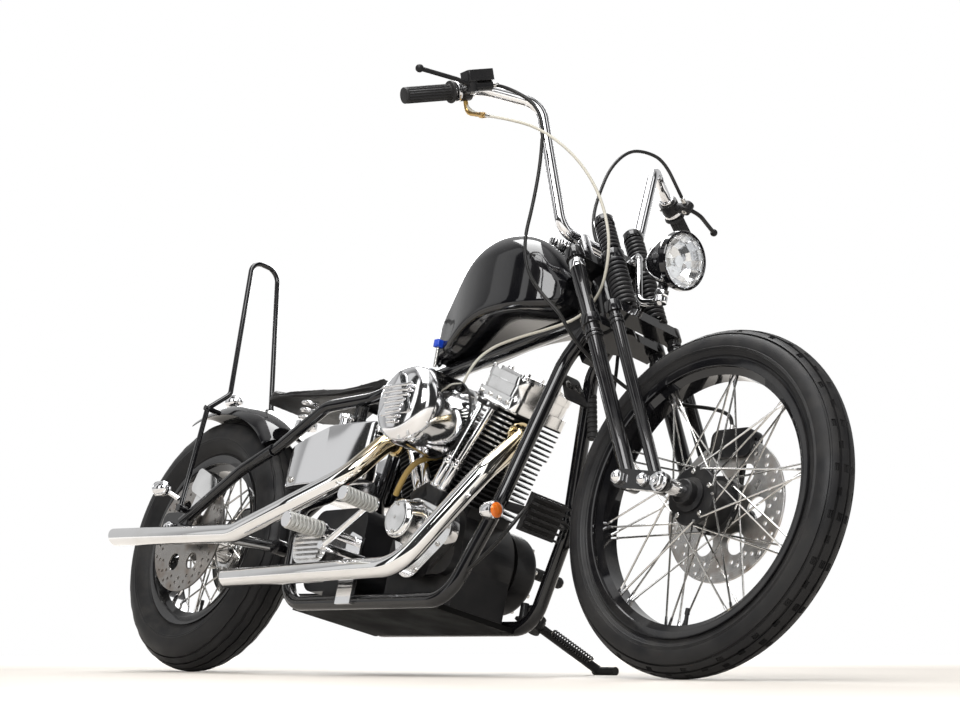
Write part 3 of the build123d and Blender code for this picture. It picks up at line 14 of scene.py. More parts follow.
import bmesh
import bpy
from bmesh.types import BMEdge, BMesh, BMVert
from bpy.types import ID, Material, Mesh, Node, NodeSocket, NodeTree, Object
from mathutils import Matrix, Vector


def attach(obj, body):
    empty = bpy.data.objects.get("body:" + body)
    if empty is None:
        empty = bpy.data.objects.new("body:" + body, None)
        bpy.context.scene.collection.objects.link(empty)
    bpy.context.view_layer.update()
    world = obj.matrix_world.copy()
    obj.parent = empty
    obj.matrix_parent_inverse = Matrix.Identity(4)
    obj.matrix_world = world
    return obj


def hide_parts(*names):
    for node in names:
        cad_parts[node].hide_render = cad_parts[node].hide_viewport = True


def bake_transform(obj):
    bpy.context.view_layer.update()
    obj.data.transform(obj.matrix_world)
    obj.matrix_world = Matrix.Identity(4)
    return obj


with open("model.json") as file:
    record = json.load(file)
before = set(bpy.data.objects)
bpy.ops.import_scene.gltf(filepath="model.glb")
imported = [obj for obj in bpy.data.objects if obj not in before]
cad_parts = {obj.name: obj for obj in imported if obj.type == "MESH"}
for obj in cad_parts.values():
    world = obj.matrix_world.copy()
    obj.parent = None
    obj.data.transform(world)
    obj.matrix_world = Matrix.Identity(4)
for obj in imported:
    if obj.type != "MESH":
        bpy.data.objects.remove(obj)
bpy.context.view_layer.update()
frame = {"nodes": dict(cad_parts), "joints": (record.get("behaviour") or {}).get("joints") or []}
LOG = logging.getLogger("chopper")
MM = 0.001

Point = Sequence[float]
Colour = tuple[float, float, float]
Outline = Sequence[tuple[float, float]]


class Side(Enum):
    """The two sides of the motorcycle, as the sign of Y."""

    RIGHT = -1
    LEFT = 1


class Body(Enum):
    """The bodies that move by themselves."""

    FRAME = "frame"
    FORK = "fork"
    FRONT_WHEEL = "front_wheel"
    REAR_WHEEL = "rear_wheel"
    STAND = "stand"


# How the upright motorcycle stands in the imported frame
@dataclass(frozen=True)
class Stance:
    """Tyre radii and rake, from which every upright place follows."""

    front_radius: float = 345.0
    rear_radius: float = 328.0
    wheelbase: float = 1664.0
    rake: float = math.radians(28.0)
    axle_offset: float = 99.0

    def matrix(self) -> Matrix:
        """Read how the motorcycle stands from the wheel joints.

        Returns:
            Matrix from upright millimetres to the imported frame.
        """
        joints = {joint["name"]: joint for joint in frame["joints"]}
        rear = Vector(joints["rear_wheel_spin"]["pos_m"])
        front = Vector(joints["front_wheel_spin"]["pos_m"])
        left = Vector(joints["rear_wheel_spin"]["axis"]).normalized()
        run = front - rear
        rise = math.asin((self.front_radius - self.rear_radius) * MM / run.length)
        along = run.normalized()
        square = along.cross(left)
        ahead = along * math.cos(rise) - square * math.sin(rise)
        up = along * math.sin(rise) + square * math.cos(rise)
        turn = Matrix((ahead, left, up)).transposed().to_4x4()
        return Matrix.Translation(rear - up * self.rear_radius * MM) @ turn @ Matrix.Scale(MM, 4)

    def front_axle(self) -> Vector:
        """Middle of the front axle."""
        return Vector((self.wheelbase, 0.0, self.front_radius))

    def rear_axle(self) -> Vector:
        """Middle of the rear axle."""
        return Vector((0.0, 0.0, self.rear_radius))

    def fork_up(self) -> Vector:
        """Direction up along the steering axis."""
        return Vector((-math.sin(self.rake), 0.0, math.cos(self.rake)))

    def fork(self, ahead: float, left: float, up: float) -> Vector:
        """Point measured from the steering axis, beside the axle.

        Args:
            ahead: Distance ahead of the steering axis.
            left: Distance to the rider's left.
            up: Distance up along the steering axis.

        Returns:
            The upright point.
        """
        square = Vector((math.cos(self.rake), 0.0, math.sin(self.rake)))
        foot = self.front_axle() - square * self.axle_offset
        return foot + square * ahead + Vector((0.0, left, 0.0)) + self.fork_up() * up


STANCE = Stance()
PARKED = STANCE.matrix()


def parked(point: Point) -> Vector:
    """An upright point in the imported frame, in metres."""
    return PARKED @ Vector(point)


# Shapes made with mesh operators
def facing(origin: Point, axis: Point, ahead: Point = (1.0, 0.0, 0.0)) -> Matrix:
    """Matrix that stands a shape made along Z at a place.

    Args:
        origin: Where the shape's own origin goes.
        axis: The direction its Z takes.
        ahead: The direction its X comes nearest to.

    Returns:
        The placing matrix.
    """
    up = Vector(axis).normalized()
    flat = Vector(ahead) - up * up.dot(Vector(ahead))
    if flat.length < 0.01:
        flat = up.orthogonal()
    flat.normalize()
    return Matrix.Translation(Vector(origin)) @ Matrix((flat, up.cross(flat), up)).transposed().to_4x4()


def moved(shape: BMesh, place: Matrix) -> BMesh:
    """The same mesh, moved by a matrix."""
    bmesh.ops.transform(shape, matrix=place, verts=shape.verts)
    return shape


def tidied(shape: BMesh) -> BMesh:
    """Merge a mesh's doubles and turn its faces outwards.

    Args:
        shape: The mesh.

    Returns:
        The same mesh.
    """
    bmesh.ops.remove_doubles(shape, verts=shape.verts, dist=0.01)
    bmesh.ops.recalc_face_normals(shape, faces=shape.faces)
    return shape


def corners_in(items: Iterable[object]) -> list[BMVert]:
    """The corners among an operator's results."""
    return [item for item in items if isinstance(item, BMVert)]


def edges_in(items: Iterable[object]) -> list[BMEdge]:
    """The edges among an operator's results."""
    return [item for item in items if isinstance(item, BMEdge)]


def mirrored(outline: Outline) -> list[tuple[float, float]]:
    """The other half of an outline, from its last corner to its first."""
    return [(radius, -side) for radius, side in reversed(outline)]


def oblong(wide: float, deep: float) -> Outline:
    """Corners of a rectangle about the origin, from its half sides."""
    return (-wide, -deep), (wide, -deep), (wide, deep), (-wide, deep)


def as_mesh(name: str, shape: BMesh) -> Mesh:
    """Keep a shape as mesh data.

    Args:
        name: The data's name.
        shape: The shape, which is used up.

    Returns:
        The data.
    """
    mesh = bpy.data.meshes.new(name)
    shape.to_mesh(mesh)
    shape.free()
    return mesh


def linked(name: str, data: ID) -> Object:
    """Put a new object in the scene.

    Args:
        name: Its name.
        data: Its data.

    Returns:
        The object.
    """
    made = bpy.data.objects.new(name, data)
    bpy.context.scene.collection.objects.link(made)
    return made


def softened(shape: BMesh, width: float, angle: float = 40.0, segments: int = 2) -> BMesh:
    """The same mesh with its sharp edges rounded.

    Args:
        shape: The mesh.
        width: Width of the rounding.
        angle: Edges that turn by more degrees than this are sharp.
        segments: Faces across the rounding.

    Returns:
        The rounded mesh.
    """
    sharp = [edge for edge in shape.edges if edge.calc_face_angle(0.0) > math.radians(angle)]
    bmesh.ops.bevel(
        shape, geom=sharp, offset=width, segments=segments, profile=0.5, affect="EDGES", material=-1,
        clamp_overlap=True,
    )
    return shape


def joined(shapes: Iterable[BMesh]) -> BMesh:
    """Join meshes.

    Args:
        shapes: The meshes, which are used up.

    Returns:
        One mesh that holds them all.
    """
    whole = bmesh.new()
    for shape in shapes:
        carrier = as_mesh("carrier", shape)
        whole.from_mesh(carrier)
        bpy.data.meshes.remove(carrier)
    return whole


def rod(
    start: Point, end: Point, radius: float, tip: float = 0.0, sides: int = 24, rim: float = 0.0
) -> BMesh:
    """Round bar between two points.

    Args:
        start: First end.
        end: Second end.
        radius: Radius at the first end.
        tip: Radius at the second end, or 0 for the same.
        sides: Faces round it.
        rim: Width of the rounding at its ends.

    Returns:
        A closed bar.
    """
    run = Vector(end) - Vector(start)
    shape = bmesh.new()
    bmesh.ops.create_cone(
        shape, cap_ends=True, segments=sides, radius1=radius, radius2=tip or radius, depth=run.length,
        matrix=facing((Vector(start) + Vector(end)) / 2, run),
    )
    return softened(shape, rim, 60.0) if rim else shape


def turned(profile: Outline, place: Matrix, closed: bool = False, steps: int = 64) -> BMesh:
    """Outline turned about an axis.

    Args:
        profile: Corners as radius and distance along the axis.
        place: Matrix that stands the axis, which is Z, in its place.
        closed: Whether the last corner joins the first, as on a ring.
        steps: Faces round the axis.

    Returns:
        A closed mesh.
    """
    shape = bmesh.new()
    corners = [shape.verts.new((radius, 0.0, along)) for radius, along in profile]
    pairs = list(zip(corners, corners[1:]))
    if closed:
        pairs.append((corners[-1], corners[0]))
    edges = [shape.edges.new(pair) for pair in pairs]
    bmesh.ops.spin(
        shape, geom=[*corners, *edges], cent=(0.0, 0.0, 0.0), axis=(0.0, 0.0, 1.0), angle=math.tau,
        steps=steps, use_merge=True, use_duplicate=False,
    )
    return moved(tidied(shape), place)


def stretched(shape: BMesh, edges: list[BMEdge], shift: Vector) -> list[BMEdge]:
    """Extrude a ring of edges.

    Args:
        shape: The mesh that holds the ring.
        edges: The ring.
        shift: How far the new ring goes.

    Returns:
        The new ring.
    """
    made = bmesh.ops.extrude_edge_only(shape, edges=edges)["geom"]
    bmesh.ops.translate(shape, vec=shift, verts=corners_in(made))
    return edges_in(made)


def round_face(shape: BMesh, radius: float, sides: int, place: Matrix) -> list[BMEdge]:
    """Add a filled circle to a mesh.

    Args:
        shape: The mesh.
        radius: Radius of the circle.
        sides: Its sides.
        place: Matrix that stands it in its place.

    Returns:
        Its edges.
    """
    made = bmesh.ops.create_circle(shape, cap_ends=True, segments=sides, radius=radius, matrix=place)
    return list({edge for corner in made["verts"] for edge in corner.link_edges})


def bent_tube(route: Sequence[Point], radius: float, bends: Sequence[float], sides: int = 20) -> BMesh:
    """Tube along straight runs joined by round bends.

    Args:
        route: Corners of the route.
        radius: Radius of the tube.
        bends: Bend radius at each inner corner.
        sides: Faces round the tube.

    Returns:
        A closed tube.
    """
    points = [Vector(point) for point in route]
    shape = bmesh.new()
    ring = round_face(shape, radius, sides, facing(points[0], points[1] - points[0]))
    here = points[0]
    for before, corner, after, bend in zip(points, points[1:], points[2:], bends):
        into = (corner - before).normalized()
        out = (after - corner).normalized()
        turn = into.angle(out)
        start = corner - into * (bend * math.tan(turn / 2))
        ring = stretched(shape, ring, start - here)
        axis = into.cross(out).normalized()
        made = bmesh.ops.spin(
            shape, geom=ring, cent=start + axis.cross(into) * bend, axis=axis, angle=turn,
            steps=max(3, round(math.degrees(turn) / 6)), use_duplicate=False,
        )["geom_last"]
        ring = edges_in(made)
        here = corner + out * (bend * math.tan(turn / 2))
    ring = stretched(shape, ring, points[-1] - here)
    bmesh.ops.edgeloop_fill(shape, edges=ring)
    return tidied(shape)


def coiled(base: Point, up: Point, radius: float, wire: float, turns: int, height: float) -> BMesh:
    """Coil spring.

    Args:
        base: Middle of the coil's foot.
        up: Direction along the coil.
        radius: Radius of the coil at the middle of its wire.
        wire: Radius of the wire.
        turns: Number of turns.
        height: Rise of the wire's middle from end to end.

    Returns:
        A closed coil.
    """
    steps = 28
    shape = bmesh.new()
    edges = round_face(shape, wire, 10, facing((radius, 0.0, 0.0), (0.0, 1.0, 0.0)))
    made = bmesh.ops.spin(
        shape, geom=edges, cent=(0.0, 0.0, 0.0), axis=(0.0, 0.0, 1.0), angle=math.tau * turns,
        steps=steps * turns, dvec=(0.0, 0.0, height / (steps * turns)), use_duplicate=False,
    )["geom_last"]
    bmesh.ops.edgeloop_fill(shape, edges=edges_in(made))
    return moved(tidied(shape), facing(base, up))


def plate(outline: Outline, thick: float, place: Matrix, corner: float = 0.0, rim: float = 0.0) -> BMesh:
    """Flat plate with rounded corners.

    Args:
        outline: Corners in the plate's own plane.
        thick: Thickness, along the place's Z.
        place: Matrix that stands the plate in its place.
        corner: Rounding of the outline's corners.
        rim: Rounding of its edges.

    Returns:
        A closed plate.
    """
    shape = bmesh.new()
    shape.faces.new([shape.verts.new((x, y, 0.0)) for x, y in outline])
    if corner:
        bmesh.ops.bevel(
            shape, geom=list(shape.verts), offset=corner, segments=6, profile=0.5, affect="VERTICES",
            material=-1,
        )
    made = bmesh.ops.extrude_face_region(shape, geom=list(shape.faces))["geom"]
    bmesh.ops.translate(shape, vec=(0.0, 0.0, thick), verts=corners_in(made))
    bmesh.ops.recalc_face_normals(shape, faces=shape.faces)
    return moved(softened(shape, rim, 60.0) if rim else shape, place)


def swept(places: Sequence[Point], radius: float, closed: bool = False) -> BMesh:
    """Round cord along a smooth curve that its places lead.

    Args:
        places: The places.
        radius: Radius of the cord.
        closed: Whether the cord runs back to its start.

    Returns:
        A closed cord.
    """
    curve = bpy.data.curves.new("cord", "CURVE")
    curve.dimensions = "3D"
    curve.bevel_depth = radius
    curve.bevel_resolution = 3
    curve.resolution_u = 6
    curve.use_fill_caps = not closed
    line = curve.splines.new("NURBS")
    line.points.add(len(places) - 1)
    for point, place in zip(line.points, places):
        point.co = (*place, 1.0)
    line.order_u = 3
    line.use_endpoint_u = not closed
    line.use_cyclic_u = closed
    carrier = bpy.data.objects.new("cord", curve)
    mesh = bpy.data.meshes.new_from_object(carrier)
    shape = bmesh.new()
    shape.from_mesh(mesh)
    bpy.data.objects.remove(carrier)
    bpy.data.curves.remove(curve)
    bpy.data.meshes.remove(mesh)
    return tidied(shape)


def fluted(start: Point, end: Point, radius: float, depth: float, flutes: int) -> BMesh:
    """Round bar with grooves along it.

    Args:
        start: First end.
        end: Second end.
        radius: Radius over its ribs.
        depth: Depth of the grooves.
        flutes: Number of grooves.

    Returns:
        A closed bar.
    """
    shape = rod(start, end, radius, sides=flutes * 6, rim=depth * 0.6)
    place = facing(start, Vector(end) - Vector(start))
    back = place.inverted()
    for corner in shape.verts:
        local = back @ corner.co
        sink = depth * (0.5 - 0.5 * math.cos(math.atan2(local.y, local.x) * flutes))
        share = 1.0 - sink / radius
        corner.co = place @ Vector((local.x * share, local.y * share, local.z))
    return shape


def hex_bolt(at: Point, axis: Point, radius: float, height: float) -> BMesh:
    """Hexagon head on its washer.

    Args:
        at: Where the washer sits.
        axis: Direction out of the surface.
        radius: Radius of the head at its corners.
        height: Height of head and washer.

    Returns:
        A closed bolt head.
    """
    way = Vector(axis).normalized()
    washer = rod(at, Vector(at) + way * height * 0.25, radius * 1.15, sides=20)
    head = rod(Vector(at) + way * height * 0.2, Vector(at) + way * height, radius, sides=6, rim=radius * 0.12)
    return joined([washer, head])


def cap_screw(at: Point, axis: Point, radius: float, height: float) -> BMesh:
    """Round screw head with a socket.

    Args:
        at: Where it sits.
        axis: Direction out of the surface.
        radius: Its largest radius.
        height: Its height.

    Returns:
        A closed screw head.
    """
    hole = radius * 0.5
    profile = [
        (0.0, height * 0.45), (hole, height * 0.45), (hole, height), (radius * 0.85, height),
        (radius, height * 0.85), (radius, 0.0), (0.0, 0.0),
    ]
    return turned(profile, facing(at, axis), steps=18)


def acorn_nut(at: Point, axis: Point, radius: float, height: float) -> BMesh:
    """Domed nut.

    Args:
        at: Where it sits.
        axis: Direction out of the surface.
        radius: Its largest radius.
        height: Its height.

    Returns:
        A closed nut.
    """
    way = Vector(axis).normalized()
    nut = rod(at, Vector(at) + way * height * 0.55, radius, sides=6, rim=radius * 0.12)
    turns = (0, 0.5, 1, 1.3)
    dome = [(radius * 0.78 * math.cos(turn), height * (0.5 + 0.5 * math.sin(turn))) for turn in turns]
    return joined([nut, turned([*dome, (0.0, height), (0.0, height * 0.5)], facing(at, axis), steps=20)])


def ring_places(middle: Point, axis: Point, radius: float, count: int, start: float = 0.0) -> list[Vector]:
    """Evenly spaced points on a circle.

    Args:
        middle: Middle of the circle.
        axis: Direction square to it.
        radius: Its radius.
        count: Number of points.
        start: Angle of the first point, in degrees.

    Returns:
        The points.
    """
    place = facing(middle, axis)
    angles = [math.radians(start) + math.tau * number / count for number in range(count)]
    return [place @ Vector((radius * math.cos(turn), radius * math.sin(turn), 0.0)) for turn in angles]


# Node trees and the effects that finishes share
class NodeSheet:
    """A node tree with short calls that add and join its nodes."""

    def __init__(self, tree: NodeTree) -> None:
        """Keep the tree."""
        self.tree = tree

    def add(self, kind: str, settings: dict[str, object] | None = None, **inputs: object) -> Node:
        """Add a node.

        Args:
            kind: The node's kind, without its common first words.
            settings: Values of the node's own properties.
            inputs: Values or sockets for its inputs, by name with _ for a space.

        Returns:
            The node.
        """
        node = self.tree.nodes.new(f"ShaderNode{kind}")
        for name, value in (settings or {}).items():
            setattr(node, name, value)
        self.fill(node, **inputs)
        return node

    def fill(self, node: Node, **inputs: object) -> None:
        """Feed a node's inputs, by name with _ for a space."""
        for name, value in inputs.items():
            self.feed(node.inputs[name.replace("_", " ")], value)

    def feed(self, socket: NodeSocket, value: object) -> None:
        """Join a socket to an input, or set its value.

        Args:
            socket: The input.
            value: A socket, or a value of the input's kind.
        """
        if isinstance(value, NodeSocket):
            self.tree.links.new(value, socket)
        else:
            socket.default_value = value

    def pair(self, kind: str, operation: str, first: object, second: object) -> Node:
        """Add a node that works on two things.

        Args:
            kind: The node's kind.
            operation: What it does.
            first: Value or socket for its first input.
            second: Value or socket for its second input.

        Returns:
            The node.
        """
        node = self.add(kind, {"operation": operation})
        self.feed(node.inputs[0], first)
        self.feed(node.inputs[1], second)
        return node

    def work(self, operation: str, first: object, second: object = 0.0) -> NodeSocket:
        """One step of arithmetic on two values."""
        return self.pair("Math", operation, first, second).outputs[0]

    def dot(self, first: NodeSocket, second: object) -> NodeSocket:
        """Length of one vector along another."""
        return self.pair("VectorMath", "DOT_PRODUCT", first, second).outputs["Value"]

    def away(self, first: NodeSocket, second: object) -> NodeSocket:
        """Distance between two points."""
        return self.pair("VectorMath", "DISTANCE", first, second).outputs["Value"]

    def normal(self) -> NodeSocket:
        """Direction that the surface faces."""
        return self.add("NewGeometry").outputs["Normal"]

    def spread(
        self, value: NodeSocket, low: float, high: float, start: float = 0.0, end: float = 1.0
    ) -> NodeSocket:
        """Map a value onto another range, cut off beyond its ends.

        Args:
            value: The value.
            low: Where it starts.
            high: Where it ends.
            start: What its start becomes.
            end: What its end becomes.

        Returns:
            The mapped value.
        """
        node = self.add("MapRange", None, Value=value)
        for number, bound in enumerate((low, high, start, end), 1):
            node.inputs[number].default_value = bound
        return node.outputs["Result"]

    def blend(self, share: NodeSocket, first: object, second: object) -> NodeSocket:
        """Mix two colours.

        Args:
            share: Share of the second colour.
            first: Colour or socket.
            second: Colour or socket.

        Returns:
            The mixed colour.
        """
        node = self.add("Mix", {"data_type": "RGBA"})
        self.feed(node.inputs["Factor"], share)
        for place, colour in ((6, first), (7, second)):
            self.feed(node.inputs[place], colour if isinstance(colour, NodeSocket) else (*colour, 1.0))
        return node.outputs[2]


class Effect:
    """A node group that is built once, placed in many materials, and gives a mask."""

    title = "effect"
    knobs: dict[str, float] = {}

    def wire(self, sheet: NodeSheet, inputs: dict[str, NodeSocket]) -> NodeSocket:
        """Lay the group's nodes.

        Args:
            sheet: The group's tree.
            inputs: The group's inputs by name.

        Returns:
            The mask.
        """
        raise NotImplementedError

    def noise(self, sheet: NodeSheet, inputs: dict[str, NodeSocket], detail: object) -> NodeSocket:
        """Noise of the group's own scale.

        Args:
            sheet: The group's tree.
            inputs: The group's inputs by name.
            detail: The noise's detail.

        Returns:
            The noise.
        """
        made = sheet.add("TexNoise", None, Vector=inputs["Vector"], Scale=inputs["Scale"], Detail=detail)
        return made.outputs[0]

    def group(self) -> NodeTree:
        """Make the group when it is first asked for.

        Returns:
            The group's tree.
        """
        known = bpy.data.node_groups.get(self.title)
        if known:
            return known
        tree = bpy.data.node_groups.new(self.title, "ShaderNodeTree")
        tree.interface.new_socket("Vector", in_out="INPUT", socket_type="NodeSocketVector")
        for name, value in self.knobs.items():
            socket = tree.interface.new_socket(name, in_out="INPUT", socket_type="NodeSocketFloat")
            socket.default_value = value
        tree.interface.new_socket("Mask", in_out="OUTPUT", socket_type="NodeSocketFloat")
        entry = tree.nodes.new("NodeGroupInput")
        leave = tree.nodes.new("NodeGroupOutput")
        mask = self.wire(NodeSheet(tree), {socket.name: socket for socket in entry.outputs if socket.name})
        tree.links.new(mask, leave.inputs["Mask"])
        return tree

    def mask(self, sheet: NodeSheet, vector: NodeSocket, **values: float) -> NodeSocket:
        """Place the group in a material.

        Args:
            sheet: The material's tree.
            vector: Coordinates.
            values: Values of the group's knobs.

        Returns:
            The mask.
        """
        node = sheet.add("Group", {"node_tree": self.group()}, Vector=vector)
        sheet.fill(node, **values)
        return node.outputs["Mask"]


class Grain(Effect):
    """Fine noise for bump and for uneven gloss."""

    title = "grain"
    knobs = {"Scale": 60.0, "Detail": 4.0}

    def wire(self, sheet: NodeSheet, inputs: dict[str, NodeSocket]) -> NodeSocket:
        """Lay the noise."""
        return self.noise(sheet, inputs, inputs["Detail"])


class Dust(Effect):
    """Pale dust that lies on faces that look up, in patches."""

    title = "dust"
    knobs = {"Amount": 0.3, "Scale": 18.0}

    def wire(self, sheet: NodeSheet, inputs: dict[str, NodeSocket]) -> NodeSocket:
        """Lay noise on faces that look up.

        Args:
            sheet: The group's tree.
            inputs: The group's inputs by name.

        Returns:
            The mask.
        """
        upward = sheet.add("SeparateXYZ", None, Vector=sheet.normal()).outputs["Z"]
        patch = sheet.spread(self.noise(sheet, inputs, 8.0), 0.38, 0.68)
        lying = sheet.work("MULTIPLY", sheet.spread(upward, -0.2, 0.95), patch)
        return sheet.work("MULTIPLY", lying, inputs["Amount"])


class EdgeWear(Effect):
    """Mask of rubbed edges, broken up by noise."""

    title = "edge wear"
    knobs = {"Width": 0.0012, "Amount": 0.6, "Scale": 120.0}

    def wire(self, sheet: NodeSheet, inputs: dict[str, NodeSocket]) -> NodeSocket:
        """Find edges and break them up.

        Args:
            sheet: The group's tree.
            inputs: The group's inputs by name.

        Returns:
            The mask.
        """
        rounded = sheet.add("Bevel", {"samples": 4}, Radius=inputs["Width"])
        edge = sheet.spread(sheet.dot(rounded.outputs[0], sheet.normal()), 0.995, 0.9)
        broken = sheet.work("MULTIPLY", edge, sheet.spread(self.noise(sheet, inputs, 6.0), 0.42, 0.62))
        return sheet.work("MULTIPLY", broken, inputs["Amount"])


class GrimeAndShade(Effect):
    """Mask of hollows found by ambient occlusion: painted shade, together with dirt and oil."""

    title = "grime_and_shade"
    knobs = {"Reach": 0.02, "Amount": 0.6, "Scale": 40.0}

    def wire(self, sheet: NodeSheet, inputs: dict[str, NodeSocket]) -> NodeSocket:
        """Find hollows by ambient occlusion, for painted shade and dirt, and break them up.

        Args:
            sheet: The group's tree.
            inputs: The group's inputs by name.

        Returns:
            The mask.
        """
        # Ambient occlusion marks where shade falls; the mask paints that shade into colour, not only dirt.
        open_sky = sheet.add("AmbientOcclusion", {"samples": 4}, Distance=inputs["Reach"])
        hollow = sheet.spread(open_sky.outputs["AO"], 0.85, 0.35)
        patch = sheet.spread(self.noise(sheet, inputs, 6.0), 0.3, 0.6, 0.4, 1.0)
        return sheet.work("MULTIPLY", sheet.work("MULTIPLY", hollow, patch), inputs["Amount"])


GRAIN = Grain()
DUST = Dust()
EDGE_WEAR = EdgeWear()
GRIME_AND_SHADE = GrimeAndShade()


# Finishes
@dataclass(frozen=True)
class Finish:
    """What every finish has: its name and the record's slot it belongs to."""

    name: str
    slot: str

    def dress(self, sheet: NodeSheet, shader: Node, coords: NodeSocket) -> None:
        """Lay the finish's nodes.

        Args:
            sheet: The material's tree.
            shader: Its Principled shader.
            coords: Object coordinates.
        """
        raise NotImplementedError

    def material(self) -> Material:
        """Make the material when it is first asked for.

        Returns:
            The finish's material.
        """
        known = bpy.data.materials.get(self.name)
        if known:
            return known
        made = bpy.data.materials.new(self.name)
        made.use_nodes = True
        sheet = NodeSheet(made.node_tree)
        coords = sheet.add("TexCoord").outputs["Object"]
        self.dress(sheet, made.node_tree.nodes["Principled BSDF"], coords)
        return made

    def bump(self, sheet: NodeSheet, shader: Node, height: NodeSocket, depth: float, strength: float) -> None:
        """Give the shader a bump from a height, of a depth in metres."""
        made = sheet.add("Bump", None, Height=height, Distance=depth, Strength=strength)
        sheet.fill(shader, Normal=made.outputs["Normal"])


@dataclass(frozen=True)
class Paint(Finish):
    """Black enamel under a clear coat, with dust and rubbed edges."""

    colour: Colour = (0.004, 0.004, 0.005)
    gloss: tuple[float, float] = (0.06, 0.2)
    coat: float = 0.8
    dust: float = 0.02
    wear: float = 0.0
    bare: Colour = (0.32, 0.31, 0.3)
    peel: float = 0.05
    shine: float = 0.15
    dust_colour: Colour = (0.3, 0.28, 0.25)

    def dress(self, sheet: NodeSheet, shader: Node, coords: NodeSocket) -> None:
        """Lay enamel, dust, rubbed edges and the clear coat.

        Args:
            sheet: The material's tree.
            shader: Its Principled shader.
            coords: Object coordinates.
        """
        dust = DUST.mask(sheet, coords, Amount=self.dust)
        colour = sheet.blend(dust, self.colour, self.dust_colour)
        smudge = GRAIN.mask(sheet, coords, Scale=9.0, Detail=7.0)
        rough = sheet.spread(smudge, 0.35, 0.7, *self.gloss)
        if self.wear:
            wear = EDGE_WEAR.mask(sheet, coords, Amount=self.wear)
            colour = sheet.blend(wear, colour, self.bare)
            sheet.fill(shader, Metallic=wear)
        sheet.fill(shader, Base_Color=colour)
        sheet.fill(shader, Roughness=sheet.work("ADD", rough, sheet.work("MULTIPLY", dust, 0.5)))
        sheet.fill(shader, Specular_IOR_Level=self.shine, Coat_Weight=self.coat, Coat_Roughness=0.03)
        self.bump(sheet, shader, GRAIN.mask(sheet, coords, Scale=420.0, Detail=2.0), 0.0002, self.peel)


@dataclass(frozen=True)
class FinPaint(Paint):
    """Black enamel on cooling fins, whose rims at the sides are polished bare."""

    foot: tuple[float, float, float] = (943.0, 0.0, 250.0)
    lean: float = 22.5
    half: float = 75.0
    rim: float = 0.87
    head: float = 0.27
    barrel_share: float = 0.04
    polished: Colour = (0.5, 0.49, 0.47)

    def dress(self, sheet: NodeSheet, shader: Node, coords: NodeSocket) -> None:
        """Lay the enamel and bare its rims at the sides.

        Args:
            sheet: The material's tree.
            shader: Its Principled shader.
            coords: Object coordinates.
        """
        super().dress(sheet, shader, coords)
        turn = math.radians(self.lean)
        turned_by = PARKED.to_3x3().normalized()
        along = turned_by @ Vector((math.sin(turn), 0.0, math.cos(turn)))
        across = turned_by @ Vector((0.0, 1.0, 0.0))
        place = sheet.pair("VectorMath", "SUBTRACT", coords, parked(self.foot)).outputs[0]
        reach = sheet.work("DIVIDE", sheet.work("ABSOLUTE", sheet.dot(place, across)), self.half * MM)
        outer = sheet.spread(reach, self.rim - 0.01, self.rim + 0.01)
        tilt = sheet.work("ABSOLUTE", sheet.dot(sheet.normal(), along))
        level = sheet.dot(place, along)
        high = sheet.spread(level, self.head - 0.002, self.head + 0.002, self.barrel_share)
        bare = sheet.work("MULTIPLY", sheet.work("MULTIPLY", outer, high), sheet.spread(tilt, 0.75, 0.45))
        plain = shader.inputs["Base Color"].links[0].from_socket
        rough = shader.inputs["Roughness"].links[0].from_socket
        sheet.fill(shader, Base_Color=sheet.blend(bare, plain, self.polished), Metallic=bare)
        sheet.fill(shader, Roughness=sheet.work("SUBTRACT", rough, sheet.work("MULTIPLY", bare, 0.25)))


@dataclass(frozen=True)
class Metal(Finish):
    """Bare or plated metal with uneven gloss, fine marks, and grime with painted shade in its hollows."""

    colour: Colour = (0.8, 0.8, 0.81)
    gloss: tuple[float, float] = (0.04, 0.14)
    marks: float = 0.06
    mark_scale: float = 260.0
    # Grime darkens hollows found by ambient occlusion: painted shade as well as dirt.
    grime_and_shade: float = 0.0
    grime_and_shade_colour: Colour = (0.035, 0.03, 0.025)
    blotch: Colour = (0.62, 0.6, 0.57)
    blotch_share: float = 0.25

    def dress(self, sheet: NodeSheet, shader: Node, coords: NodeSocket) -> None:
        """Lay the metal, its tarnish, grime with painted shade in its hollows, and marks.

        Args:
            sheet: The material's tree.
            shader: Its Principled shader.
            coords: Object coordinates.
        """
        smudge = GRAIN.mask(sheet, coords, Scale=14.0, Detail=8.0)
        tarnish = sheet.spread(smudge, 0.5, 0.75, 0.0, self.blotch_share)
        colour = sheet.blend(tarnish, self.colour, self.blotch)
        rough = sheet.spread(smudge, 0.35, 0.7, *self.gloss)
        # Hollows from ambient occlusion go nearly black: painted shade, with dirt that also roughens them.
        if self.grime_and_shade:
            dirt_and_shade = GRIME_AND_SHADE.mask(sheet, coords, Amount=self.grime_and_shade)
            colour = sheet.blend(dirt_and_shade, colour, self.grime_and_shade_colour)
            rough = sheet.work("ADD", rough, sheet.work("MULTIPLY", dirt_and_shade, 0.4))
        sheet.fill(shader, Base_Color=colour, Roughness=rough, Metallic=1.0)
        marks = GRAIN.mask(sheet, coords, Scale=self.mark_scale, Detail=3.0)
        self.bump(sheet, shader, marks, 0.0002, self.marks)


@dataclass(frozen=True)
class HeatedChrome(Metal):
    """Chrome that is tinted straw and brown near a hot place."""

    hot: tuple[float, float, float] = (1168.0, -60.0, 520.0)
    reach: float = 0.17
    straw: Colour = (0.62, 0.47, 0.2)

    def dress(self, sheet: NodeSheet, shader: Node, coords: NodeSocket) -> None:
        """Lay the chrome and tint it near the hot place.

        Args:
            sheet: The material's tree.
            shader: Its Principled shader.
            coords: Object coordinates.
        """
        super().dress(sheet, shader, coords)
        near = sheet.spread(sheet.away(coords, parked(self.hot)), self.reach, 0.05, 0.0, 0.75)
        plain = shader.inputs["Base Color"].links[0].from_socket
        sheet.fill(shader, Base_Color=sheet.blend(near, plain, self.straw))


